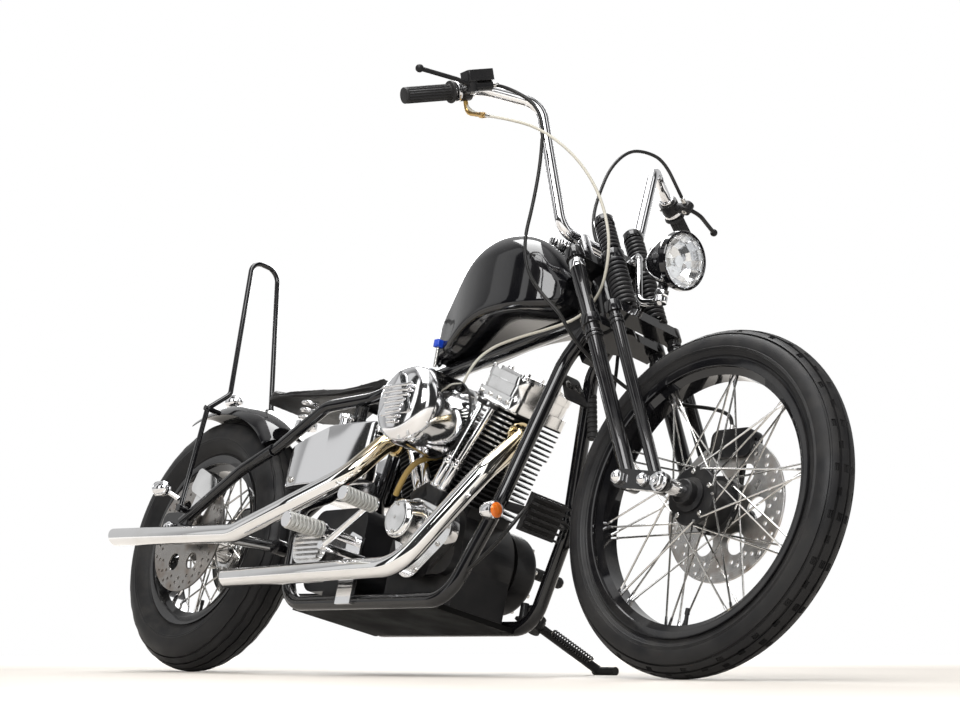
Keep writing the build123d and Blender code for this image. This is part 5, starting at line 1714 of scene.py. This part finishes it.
# Fork
@dataclass(frozen=True)
class SpringerFork:
    """Coil springs, spring caps, leg collars and the domed nuts of the rockers."""

    spring_ahead: float = 67.0
    spring_side: float = 45.0
    wire: float = 4.2
    leg_ahead: float = 10.0
    leg_side: float = 97.0
    spring_leg_side: float = 88.0
    rocker_face: float = 126.8

    def springs(self) -> None:
        """The four coils."""
        piece = Piece("coil_springs", Body.FORK, "fork_springs")
        for side in Side:
            for radius, low, high, turns in ((20.5, 482.5, 607.5, 11), (17.5, 638.5, 711.8, 7)):
                base = STANCE.fork(self.spring_ahead, side.value * self.spring_side, low)
                piece.add(SPRING_GREY, coiled(base, STANCE.fork_up(), radius, self.wire, turns, high - low))
        piece.stand()

    def ring(self, ahead: float, left: float, up: float, radius: float, height: float) -> BMesh:
        """A rounded ring round a leg."""
        ends = STANCE.fork(ahead, left, up), STANCE.fork(ahead, left, up + height)
        return rod(*ends, radius, sides=32, rim=min(2.0, height * 0.3))

    def hardware(self) -> None:
        """Caps, collars and nuts."""
        piece = Piece("fork_hardware", Body.FORK)
        up_way = STANCE.fork_up()
        for side in Side:
            sign = side.value
            cap = STANCE.fork(self.spring_ahead, sign * self.spring_side, 730.0)
            dome = ((21.6, 0.0), (21.6, 3.0), (19.0, 7.0), (12.0, 10.0), (7.0, 11.0), (0.0, 11.2), (0.0, 0.0))
            piece.add(SPRING_GREY, turned(dome, facing(cap, up_way), steps=40))
            piece.add(CHROME, acorn_nut(cap + up_way * 9.0, up_way, 8.0, 11.0))
            leg = self.leg_ahead, sign * self.leg_side
            spring_leg = self.spring_ahead, sign * self.spring_leg_side
            for finish, (ahead, left), up, radius, height in (
                (FORK_BLACK, leg, 421.0, 19.5, 7.0), (FORK_BLACK, leg, 431.0, 19.5, 7.0),
                (FORK_BLACK, spring_leg, 423.0, 15.8, 7.0), (FORK_BLACK, spring_leg, 434.0, 15.8, 7.0),
                (CHROME, leg, 612.0, 17.4, 22.0),
                (FORK_BLACK, (self.spring_ahead, sign * self.spring_side), 606.0, 24.0, 6.0),
            ):
                piece.add(finish, self.ring(ahead, left, up, radius, height))
            out = Vector((0.0, sign, 0.0))
            for ahead, up, radius in ((self.leg_ahead, 64.0, 15.0), (self.spring_ahead, 23.0, 14.0)):
                nut = STANCE.fork(ahead, sign * self.rocker_face, up)
                piece.add(CHROME, acorn_nut(nut, out, radius, 19.0))
            axle = STANCE.front_axle() + out * self.rocker_face
            piece.add(CHROME, rod(axle, axle + out * 3.0, 20.0, rim=0.8))
            piece.add(CHROME, rod(axle, axle + out * 12.0, 16.5, sides=6, rim=1.4))
            tree = STANCE.fork(self.leg_ahead, sign * self.leg_side, 661.0)
            piece.add(CHROME, acorn_nut(tree, up_way, 12.0, 14.0))
        piece.add(CHROME, acorn_nut(STANCE.fork(0.0, 0.0, 661.0), up_way, 20.0, 22.0))
        piece.stand()

    def build(self) -> None:
        """Make the springs and the hardware."""
        self.springs()
        self.hardware()


# Engine
@dataclass(frozen=True)
class Engine:
    """Bolts, lifter blocks, collars and the ribbed air cleaner of the V-twin."""

    crank: tuple[float, float, float] = (943.0, 0.0, 250.0)
    lean: float = 22.5
    deck: float = 132.0
    head_top: float = 354.3
    pushrod_side: float = -92.0
    air: tuple[float, float, float] = (950.0, -103.3, 543.0)
    air_radius: float = 91.0

    def place(self, lean: float, along: float) -> Matrix:
        """Matrix on a cylinder's axis, with Z along it and X ahead.

        Args:
            lean: Lean of the cylinder ahead, in degrees.
            along: Distance from the crankshaft.

        Returns:
            The placing matrix.
        """
        turn = math.radians(lean)
        axis = Vector((math.sin(turn), 0.0, math.cos(turn)))
        return facing(Vector(self.crank) + axis * along, axis)

    def tops(self) -> None:
        """Bolts of the rocker boxes."""
        piece = Piece("rocker_box_bolts", Body.FRAME)
        for lean in (-self.lean, self.lean):
            roof = self.place(lean, self.head_top)
            up = roof.to_3x3() @ Vector((0.0, 0.0, 1.0))
            for x in (-61.0, 61.0):
                for y in (-66.0, -24.0, 24.0, 66.0):
                    piece.add(CHROME, cap_screw(roof @ Vector((x, y, 72.0)), up, 5.6, 7.0))
            for x, y in ((-32.0, -46.0), (32.0, -46.0), (-32.0, 46.0), (32.0, 46.0)):
                piece.add(CHROME, hex_bolt(roof @ Vector((x, y, 80.0)), up, 7.0, 7.0))
            outside = roof.to_3x3() @ Vector((0.0, -1.0, 0.0))
            for x in (-50.0, -17.0, 17.0, 50.0):
                piece.add(BRIGHT_STEEL, cap_screw(roof @ Vector((x, -80.0, 13.0)), outside, 4.6, 4.0))
        piece.stand()

    def valve_train(self) -> None:
        """Collars on the pushrod tubes and the lifter blocks they stand on."""
        piece = Piece("lifter_blocks", Body.FRAME)
        for lean in (-self.lean, self.lean):
            foot = self.place(lean, self.deck + 4.0)
            head = self.place(lean, self.head_top - 0.3)
            for step in (-13.0, 15.0):
                low = foot @ Vector((-lean * 1.3 + step, self.pushrod_side, 0.0))
                high = head @ Vector((step * 1.6, self.pushrod_side + 4.0, 0.0))
                way = (high - low).normalized()
                for along, height, radius in ((0.0, 7.0, 13.5), (58.0, 9.0, 13.0), (72.0, 4.0, 11.0)):
                    piece.add(CHROME, rod(low + way * along, low + way * (along + height), radius, rim=1.4))
                far = (high - low).length
                piece.add(SOFT_RUBBER, rod(low + way * (far - 12.0), low + way * (far - 2.0), 11.5, rim=2.0))
            middle = foot @ Vector((-lean * 1.3 + 1.0, self.pushrod_side, 0.0))
            axis = foot.to_3x3() @ Vector((0.0, 0.0, 1.0))
            place = facing(middle - axis * 34.0, axis)
            piece.add(SATIN_BLACK, plate(oblong(34.0, 15.0), 34.0, place, 10.0, 2.0))
        piece.stand()

    def air_cleaner(self) -> None:
        """The domed drum with its ribbed panel."""
        place = facing(self.air, (0.0, -1.0, 0.0))
        rim = self.air_radius
        outline = (
            (0.0, 0.0), (rim - 1.0, 0.0), (rim, 3.0), (rim, 84.0), (rim - 1.0, 94.0), (rim - 4.0, 105.0),
            (rim - 9.0, 114.0), (rim - 17.0, 122.0), (rim - 29.0, 128.0), (rim - 46.0, 131.5), (26.0, 133.0),
            (0.0, 133.5),
        )
        piece = Piece("ribbed_air_cleaner", Body.FRAME, "air_cleaner")
        piece.add(CHROME, turned(outline, place, steps=128))
        wide, narrow, top, bottom = 57.0, 13.0, 34.0, -62.0
        panel = ((-wide, top), (wide, top), (narrow, bottom), (-narrow, bottom))
        face = Vector(self.air) + Vector((0.0, -126.0, 0.0))
        piece.add(CHROME, plate(mirrored(panel), 10.0, facing(face, (0.0, -1.0, 0.0)), 16.0, 3.0))
        for number in range(8):
            level = 30.0 - 11.6 * number
            half = narrow + (wide - narrow) * (level - bottom) / (top - bottom) - 4.0
            ends = [face + Vector((sign * half, -10.5, level)) for sign in (-1.0, 1.0)]
            piece.add(CHROME, rod(*ends, 3.4, sides=16, rim=2.6))
        band = ((rim - 6.0, -2.0), (rim + 0.6, -2.0), (rim + 0.6, 4.0), (rim - 6.0, 4.0))
        piece.add(SOFT_RUBBER, turned(band, place, True))
        piece.stand(30.0)

    def covers(self) -> None:
        """Screws of the cam cover, its cap and the primary cover."""
        piece = Piece("engine_screws", Body.FRAME)
        out = Vector((0.0, -1.0, 0.0))
        for x, z in (
            (-54.0, 46.0), (-34.0, 92.0), (10.0, 100.0), (70.0, 66.0),
            (116.0, 40.0), (92.0, 2.0), (36.0, -52.0), (-24.0, -42.0),
        ):
            at = Vector(self.crank) + Vector((x, -118.3, z))
            piece.add(BRIGHT_STEEL, cap_screw(at, out, 5.0, 4.0))
        cap = Vector((935.0, -166.3, 302.0))
        for spot in ring_places(cap, out, 30.0, 2, 90.0):
            piece.add(BRIGHT_STEEL, cap_screw(spot, out, 3.6, 2.4))
        left = Vector((0.0, 1.0, 0.0))
        for x, radius, count, first in ((943.0, 84.0, 5, -70.0), (660.0, 104.0, 6, 110.0)):
            for number in range(count):
                turn = math.radians(first + 150.0 * number / (count - 1))
                at = Vector((x + radius * math.cos(turn), 168.0, 262.0 + radius * math.sin(turn)))
                piece.add(BRIGHT_STEEL, cap_screw(at, left, 5.0, 9.0))
        piece.stand()

    def build(self) -> None:
        """Make the engine's details."""
        self.tops()
        self.valve_train()
        self.air_cleaner()
        self.covers()


# Oil tank
@dataclass(frozen=True)
class OilTank:
    """Chrome horseshoe tank whose sides bulge and whose top falls away at the back."""

    back: float = 414.0
    front: float = 728.0
    half: float = 125.0
    inner: float = 82.0
    floor: float = 415.0
    roof: float = 556.0
    bulge: float = 13.0
    slices: int = 16
    back_wall: float = 90.0

    def cheek(self, side: Side) -> BMesh:
        """One side of the tank.

        Args:
            side: Which side.

        Returns:
            A closed block with a curved outer face.
        """
        outline = [(self.front - 2.0, self.inner), (self.back + 2.0, self.inner)]
        for number in range(self.slices + 1):
            share = number / self.slices
            sag = self.bulge * (2.0 * share - 1.0) ** 4
            outline.append((self.back + (self.front - self.back) * share, self.half - sag))
        ordered = [(x, side.value * y) for x, y in outline]
        shape = plate(ordered, self.roof - self.floor, Matrix.Translation((0.0, 0.0, self.floor)), 0.0, 6.0)
        slope = Vector((-45.0, 0.0, 181.0))
        cut = bmesh.ops.bisect_plane(
            shape, geom=[*shape.verts, *shape.edges, *shape.faces], plane_co=(413.0, 0.0, 512.0),
            plane_no=slope, clear_outer=True,
        )["geom_cut"]
        bmesh.ops.edgeloop_fill(shape, edges=edges_in(cut))
        return tidied(shape)

    def build(self) -> None:
        """Make the tank with its filler neck and mounting bolts."""
        piece = Piece("oil_tank_shell", Body.FRAME, "oil_tank")
        piece.add(CHROME, *[self.cheek(side) for side in Side])
        near, far, half = self.back + 3.0, self.back + self.back_wall, self.inner + 2.0
        wall = ((near, -half), (far, -half), (far, half), (near, half))
        piece.add(CHROME, plate(wall, 94.0, Matrix.Translation((0.0, 0.0, self.floor + 1.0)), 0.0, 3.0))
        piece.add(CHROME, rod((600.0, -106.0, 552.0), (600.0, -106.0, 572.0), 14.5))
        for side in Side:
            out = Vector((0.0, side.value, 0.0))
            for x in (450.0, 690.0):
                at = (x, side.value * (self.half - 5.0), self.floor + 16.0)
                piece.add(BRIGHT_STEEL, hex_bolt(at, out, 7.0, 9.0))
        piece.stand(30.0)


# Lamps, pegs and other small fittings
@dataclass(frozen=True)
class Fittings:
    """Lenses, ringed pegs, caps, wires and springs that sit on the bigger pieces."""

    peg_rings: int = 9

    def lenses(self) -> None:
        """Amber lenses of the signals, in bright rings."""
        piece = Piece("signal_lenses", Body.FRAME)
        lens = ((0.0, 25.0), (8.0, 24.2), (13.0, 21.5), (16.4, 17.6), (16.4, 15.0), (0.0, 15.0))
        ring = ((15.0, 14.0), (19.6, 14.0), (19.6, 17.2), (16.2, 18.0))
        for x, y, z, ahead in ((1226.0, 152.0, 305.0, 1.0), (6.0, 192.0, 416.0, -1.0)):
            for side in Side:
                place = facing((x, side.value * y, z), (ahead, 0.0, 0.0))
                piece.add(AMBER_GLASS, turned(lens, place, steps=32))
                piece.add(CHROME, turned(ring, place, True, 32))
        piece.stand(30.0)

    def ringed(self, start: Point, end: Point, radius: float) -> BMesh:
        """A sleeve with rings.

        Args:
            start: First end.
            end: Second end.
            radius: Radius between the rings.

        Returns:
            A closed sleeve.
        """
        run = (Vector(end) - Vector(start)).length
        crest = radius + 2.2
        profile = [(0.0, 0.0), (radius, 0.0)]
        pitch = run / self.peg_rings
        for number in range(self.peg_rings):
            low = number * pitch
            profile += [(crest, low + 1.0), (crest, low + pitch * 0.62), (radius, low + pitch * 0.72)]
        profile += [(radius, run), (0.0, run)]
        return turned(profile, facing(start, Vector(end) - Vector(start)), steps=32)

    def pegs(self) -> None:
        """Ringed sleeves on the foot pegs and pads."""
        piece = Piece("ringed_pegs", Body.FRAME)
        for start, end, radius, finish in (
            ((782, -240, 259), (780, -332, 257), 17.2, RIBBED_ALLOY),
            ((956, -244, 304), (957, -328, 306), 15.2, RIBBED_ALLOY),
            ((782, 242, 260), (780, 334, 257), 17.2, SOFT_RUBBER),
            ((962, 222, 285), (962, 310, 283), 11.2, SOFT_RUBBER),
        ):
            piece.add(finish, self.ringed(start, end, radius))
        piece.stand()

    def caps(self) -> None:
        """Knurled filler caps of the tank and the oil tank."""
        piece = Piece("filler_caps", Body.FRAME)
        way = Vector((0.22, 0.0, 0.97)).normalized()
        tank = Vector((1116.0, 0.0, 940.0)) + way * 20.0
        piece.add(CHROME, fluted(tank, tank + way * 13.0, 31.0, 1.4, 24))
        oil = Vector((600.0, -106.0, 570.0))
        piece.add(CHROME, fluted(oil, oil + Vector((0.0, 0.0, 12.0)), 18.0, 1.2, 18))
        piece.stand()

    def wiring(self) -> None:
        """Wires, the breather hose, the fuel knob and the cable to the regulator."""
        piece = Piece("wires_and_hoses", Body.FRAME)
        for finish, radius, places in (
            (HOSE_AMBER, 6.5, ((915, -60, 470), (926, -118, 452), (900, -138, 410), (872, -128, 366))),
            (
                CABLE_BLACK, 4.0,
                ((1215, -40, 352), (1258, -86, 330), (1252, -116, 278), (1208, -122, 226), (1128, -114, 184)),
            ),
            (CABLE_BLACK, 3.2, ((1208, 30, 352), (1240, 70, 330), (1218, 96, 300), (1170, 104, 290))),
            (WIRE_RED, 2.6, ((640, -124, 412), (662, -134, 388), (700, -132, 372), (738, -120, 350))),
            (CABLE_CREAM, 2.6, ((647, -124, 412), (669, -134, 388), (700, -132, 365), (738, -120, 350))),
        ):
            piece.add(finish, swept(places, radius))
        knob = Vector((836.0, -64.0, 690.0))
        piece.add(BRIGHT_STEEL, rod(knob, knob + Vector((4.0, -4.0, 46.0)), 4.0))
        top = facing(knob + Vector((4.0, -4.0, 44.0)), (0.0, 0.0, 1.0))
        piece.add(BLUE_KNOB, plate(oblong(9.0, 9.0), 18.0, top, 2.0, 1.5))
        piece.stand()

    def neck_plate(self) -> None:
        """The black plate between the downtubes with two bright rings, and the ribbed tube beside it."""
        piece = Piece("neck_plate", Body.FRAME)
        middle = Vector((1238.0, 0.0, 612.0))
        place = facing(middle, (0.86, 0.0, 0.5), (0.0, 1.0, 0.0))
        corners = ((-34.0, -36.0), (34.0, -36.0), (26.0, 36.0), (-26.0, 36.0))
        piece.add(SATIN_BLACK, plate(corners, 5.0, place, 8.0, 1.0))
        for side in (-14.0, 14.0):
            ring = ((7.0, 4.0), (10.5, 4.0), (10.5, 7.0), (7.0, 7.0))
            piece.add(BRIGHT_STEEL, turned(ring, place @ Matrix.Translation((side, 6.0, 0.0)), True, 24))
        piece.add(SOFT_RUBBER, self.ringed((1243.0, 52.0, 618.0), (1262.0, 58.0, 520.0), 9.0))
        piece.stand()

    def stand_spring(self) -> None:
        """The side stand's return spring, which rides on the stand."""
        pivot = Vector((1070.0, 162.0, 150.0))
        along = Vector((0.342, 0.863, -0.373)).normalized()
        beside = Vector((0.940, -0.314, 0.136)).normalized()
        piece = Piece("stand_spring", Body.STAND)
        piece.add(SPRING_GREY, coiled(pivot + along * 36.0 + beside * 19.5, along, 7.0, 1.8, 16, 104.0))
        for reach in (36.0, 140.0):
            pin = pivot + along * reach
            piece.add(BRIGHT_STEEL, rod(pin + beside * 6.0, pin + beside * 30.0, 2.8))
        piece.stand()

    def build(self) -> None:
        """Make the fittings."""
        self.lenses()
        self.pegs()
        self.caps()
        self.wiring()
        self.neck_plate()
        self.stand_spring()


# Seat
@dataclass(frozen=True)
class SoloSeat:
    """Leather pad, filled by a cloth simulation, with piping round its rim."""

    voxel: float = 0.005
    pressure: float = 4.0
    last_frame: int = 20
    slack: float = 0.003
    reach: float = 0.006
    piping: float = 3.4
    middle: tuple[float, float] = (410.0, 0.0)
    rim_points: int = 44

    def pad(self) -> Object:
        """Remesh the seat's solid evenly and draw it in a little, so that it can swell.

        Returns:
            The pad's object.
        """
        shape = bmesh.new()
        shape.from_mesh(frame["nodes"]["seat"].data)
        bmesh.ops.remove_doubles(shape, verts=shape.verts, dist=0.00002)
        carrier = linked("seat_pan", as_mesh("seat_pan", shape))
        grid = carrier.modifiers.new("grid", "REMESH")
        grid.mode = "VOXEL"
        grid.voxel_size = self.voxel
        even = bpy.data.meshes.new_from_object(carrier.evaluated_get(bpy.context.evaluated_depsgraph_get()))
        bpy.data.objects.remove(carrier)
        shape = bmesh.new()
        shape.from_mesh(even)
        bmesh.ops.smooth_vert(
            shape, verts=shape.verts, factor=0.5, use_axis_x=True, use_axis_y=True, use_axis_z=True
        )
        shape.normal_update()
        for corner, way in [(corner, corner.normal.copy()) for corner in shape.verts]:
            corner.co -= way * self.slack
        shape.to_mesh(even)
        shape.free()
        return linked("leather_seat", even)

    def swell(self, made: Object) -> None:
        """Fill the pad by pressure and keep the result in its mesh.

        Args:
            made: The pad's object.
        """
        down = PARKED.to_3x3() @ Vector((0.0, 0.0, -1.0 / MM))
        under = made.vertex_groups.new(name="under")
        low = [corner.index for corner in made.data.vertices if corner.normal.dot(down) > 0.6]
        under.add(low, 1.0, "REPLACE")
        cloth = made.modifiers.new("cloth", "CLOTH")
        cloth.settings.use_pressure = True
        cloth.settings.uniform_pressure_force = self.pressure
        cloth.settings.vertex_group_mass = under.name
        cloth.settings.effector_weights.gravity = 0.0
        cloth.point_cache.frame_start = 1
        cloth.point_cache.frame_end = self.last_frame
        for number in range(1, self.last_frame + 1):
            bpy.context.scene.frame_set(number)
        graph = bpy.context.evaluated_depsgraph_get()
        places = [corner.co.copy() for corner in made.evaluated_get(graph).data.vertices]
        made.modifiers.remove(cloth)
        made.vertex_groups.clear()
        bpy.context.scene.frame_set(1)
        for corner, place in zip(made.data.vertices, places):
            shift = place - corner.co
            corner.co += shift * min(1.0, self.reach / max(shift.length, 1e-9))

    def rim(self, made: Object) -> list[Vector]:
        """Follow the pad's rim.

        Args:
            made: The pad's object.

        Returns:
            Upright points round the pad, where it reaches furthest out.
        """
        upright = PARKED.inverted()
        best: dict[int, tuple[float, Vector]] = {}
        for corner in made.data.vertices:
            place = upright @ corner.co
            out = place.xy - Vector(self.middle)
            key = math.floor(math.atan2(out.y, out.x) / math.tau * self.rim_points)
            if key not in best or out.length > best[key][0]:
                best[key] = (out.length, place)
        ring = [best[key][1] for key in sorted(best)]
        count = len(ring)
        even = []
        for number in range(count):
            near = [ring[(number + step) % count] for step in (-3, -2, -1, 0, 1, 2, 3)]
            flat = (near[2] + near[3] * 2.0 + near[4]) / 4.0
            even.append(Vector((flat.x, flat.y, sum(place.z for place in near) / len(near))))
        return even

    def build(self) -> None:
        """Make the pad and its piping."""
        made = self.pad()
        self.swell(made)
        made.data.materials.append(SEAT_LEATHER.material())
        made.data.polygons.foreach_set("use_smooth", [True] * len(made.data.polygons))
        fine = made.modifiers.new("fine", "SUBSURF")
        fine.levels = 1
        fine.render_levels = 1
        cover = Piece(made.name, Body.FRAME, "seat")
        cover.finishes.append(SEAT_LEATHER)
        cover.board(made)
        cord = swept(self.rim(made), self.piping, True)
        Piece("seat_piping", Body.FRAME).add(SEAT_LEATHER, cord).stand()


# Studio
@dataclass(frozen=True)
class Studio:
    """Floor, light and camera of the picture."""

    floor_half: float = 9.0
    floor_colour: Colour = (0.62, 0.58, 0.53)
    ambient: float = 0.5
    dark: float = 0.03
    wall: float = 0.6
    strips: tuple[tuple[float, float], ...] = ((-56.0, 0.75), (-20.0, 1.5), (62.0, 1.5), (118.0, 1.5))
    strip_cosine: float = 0.988
    camera_at: tuple[float, float, float] = (3.3445, -2.9387, 0.058)
    azimuth: float = 48.754
    tilt: float = 8.395
    focal_px: float = 1952.2
    image_width: float = 960.0
    sensor: float = 36.0

    def floor(self) -> None:
        """A plain pale floor."""
        shape = bmesh.new()
        bmesh.ops.create_grid(shape, x_segments=1, y_segments=1, size=self.floor_half)
        mesh = as_mesh("floor", shape)
        made = bpy.data.materials.new("floor")
        made.use_nodes = True
        sheet = NodeSheet(made.node_tree)
        coords = sheet.add("TexCoord").outputs["Object"]
        patch = GRAIN.mask(sheet, coords, Scale=1.5, Detail=6.0)
        shader = made.node_tree.nodes["Principled BSDF"]
        darker = tuple(0.94 * part for part in self.floor_colour)
        sheet.fill(shader, Base_Color=sheet.blend(patch, self.floor_colour, darker), Roughness=0.6)
        away = sheet.add("VectorMath", {"operation": "LENGTH"}, Vector=coords).outputs["Value"]
        sheet.fill(shader, Emission_Strength=sheet.spread(away, 1.6, 6.0, 0.0, 0.9))
        sheet.fill(shader, Emission_Color=(1.0, 0.99, 0.97, 1.0))
        mesh.materials.append(made)
        floor = linked("floor", mesh)

    def reflected(self, sheet: NodeSheet) -> NodeSocket:
        """Level of the room that shows in gloss: a white wall behind, strip lamps in the dark before it.

        Args:
            sheet: The world's tree.

        Returns:
            The level.
        """
        way = sheet.add("TexCoord").outputs["Generated"]
        turn = math.radians(self.azimuth)
        behind = sheet.dot(way, Vector((-math.sin(turn), math.cos(turn), 0.0)))
        level = sheet.spread(behind, 0.15, 0.55, self.dark, self.wall)
        height = sheet.add("SeparateXYZ", None, Vector=way).outputs["Z"]
        flat = sheet.pair("VectorMath", "MULTIPLY", way, (1.0, 1.0, 0.0)).outputs[0]
        round_way = sheet.add("VectorMath", {"operation": "NORMALIZE"}, Vector=flat).outputs[0]
        tall = sheet.work("MULTIPLY", sheet.spread(height, -0.02, 0.04), sheet.spread(height, 0.9, 0.8))
        for angle, power in self.strips:
            toward = math.radians(angle - 90.0)
            near = sheet.dot(round_way, Vector((math.cos(toward), math.sin(toward), 0.0)))
            shine = sheet.spread(near, self.strip_cosine, self.strip_cosine + 0.004, 0.0, power)
            level = sheet.work("MAXIMUM", level, sheet.work("MULTIPLY", shine, tall))
        return sheet.work("MAXIMUM", level, sheet.spread(height, 0.86, 0.93, 0.0, 0.8))

    def sky(self) -> None:
        """White where the camera sees it, a studio where gloss shows it, and a plain level for its light."""
        world = bpy.data.worlds.new("studio")
        bpy.context.scene.world = world
        world.use_nodes = True
        sheet = NodeSheet(world.node_tree)
        path = sheet.add("LightPath").outputs
        seen = sheet.work("MAXIMUM", path["Is Camera Ray"], path["Is Transmission Ray"])
        shown = sheet.work("MULTIPLY", path["Is Glossy Ray"], sheet.work("SUBTRACT", 1.0, seen))
        rest = sheet.work("SUBTRACT", 1.0, sheet.work("ADD", seen, shown))
        level = sheet.work("ADD", seen, sheet.work("MULTIPLY", shown, self.reflected(sheet)))
        level = sheet.work("ADD", level, sheet.work("MULTIPLY", rest, self.ambient))
        sheet.fill(world.node_tree.nodes["Background"], Strength=level, Color=(1.0, 1.0, 1.0, 1.0))

    def lamp(self, name: str, at: Point, aim: Point, size: tuple[float, float], power: float) -> None:
        """One soft box.

        Args:
            name: Its name.
            at: Its place, in metres.
            aim: The point it looks at.
            size: Its width and height.
            power: Its power in watts.
        """
        light = bpy.data.lights.new(name, "AREA")
        light.shape = "RECTANGLE"
        light.size, light.size_y = size
        light.energy = power
        made = linked(name, light)
        made.location = at
        made.rotation_euler = (Vector(aim) - Vector(at)).to_track_quat("-Z", "Y").to_euler()

    def camera(self) -> None:
        """The camera at the photograph's place and angle."""
        turn, rise = math.radians(self.azimuth), math.radians(self.tilt)
        way = Vector((-math.sin(turn) * math.cos(rise), math.cos(turn) * math.cos(rise), math.sin(rise)))
        lens = bpy.data.cameras.new("camera")
        lens.sensor_width = self.sensor
        lens.lens = self.focal_px * self.sensor / self.image_width
        lens.clip_start = 0.02
        made = linked("camera", lens)
        made.location = self.camera_at
        made.rotation_euler = way.to_track_quat("-Z", "Y").to_euler()
        bpy.context.scene.camera = made

    def build(self) -> None:
        """Set up the studio."""
        bpy.context.scene.view_settings.view_transform = "Standard"
        self.floor()
        self.sky()
        self.lamp("key", (2.4, -3.2, 3.0), (0.1, 0.0, 0.5), (2.2, 2.2), 150.0)
        self.lamp("overhead", (-0.2, -0.2, 3.6), (0.0, 0.0, 0.4), (3.4, 1.6), 120.0)
        self.lamp("fill", (-3.2, 2.6, 2.4), (0.0, 0.0, 0.5), (2.4, 2.0), 90.0)
        self.camera()


FRONT_TYRE = TyreTread(
    "front_tyre", Body.FRONT_WHEEL, STANCE.front_axle(), STANCE.front_radius, 41.0, 267.0, 31.0, 278.0,
    (36.0, 60.0, 90.0, 120.0, 144.0), 2.2, 4.0, 0.0, 6, (0.2, 0.28, 0.36, 0.44, 0.52, 0.86),
)
REAR_TYRE = TyreTread(
    "rear_tyre", Body.REAR_WHEEL, STANCE.rear_axle(), STANCE.rear_radius, 66.0, 205.0, 41.0, 221.0,
    (42.0, 60.0, 78.0, 102.0, 120.0, 138.0), 2.4, 4.5, 0.8, 0, (0.06, 0.16, 0.9),
)
FRONT_LACING = LacedWheel(
    "front_wheel", Body.FRONT_WHEEL, STANCE.front_axle(), 267.0, 31.0, 278.0, 253.0, 59.0, 66.0, 33.0, 45.0,
    62.0, 2.0, SATIN_BLACK,
)
REAR_LACING = LacedWheel(
    "rear_wheel", Body.REAR_WHEEL, STANCE.rear_axle(), 205.0, 41.0, 221.0, 190.0, 58.0, 86.0, 40.0, 40.0,
    58.0, 2.3, POLISHED_ALLOY,
)


def main() -> None:
    """Build every sub-assembly in order."""
    logging.basicConfig(level=logging.INFO, format="%(name)s %(message)s")
    Studio().build()
    CarriedOver().build()
    for part in (
        FRONT_TYRE, REAR_TYRE, FRONT_LACING, REAR_LACING, HandControls(), THROTTLE_CABLE, CLUTCH_CABLE,
        BRAKE_HOSE, Headlamp(), SpringerFork(), Engine(), OilTank(), Fittings(), SoloSeat(),
    ):
        part.build()


if __name__ == "__main__":
    main()
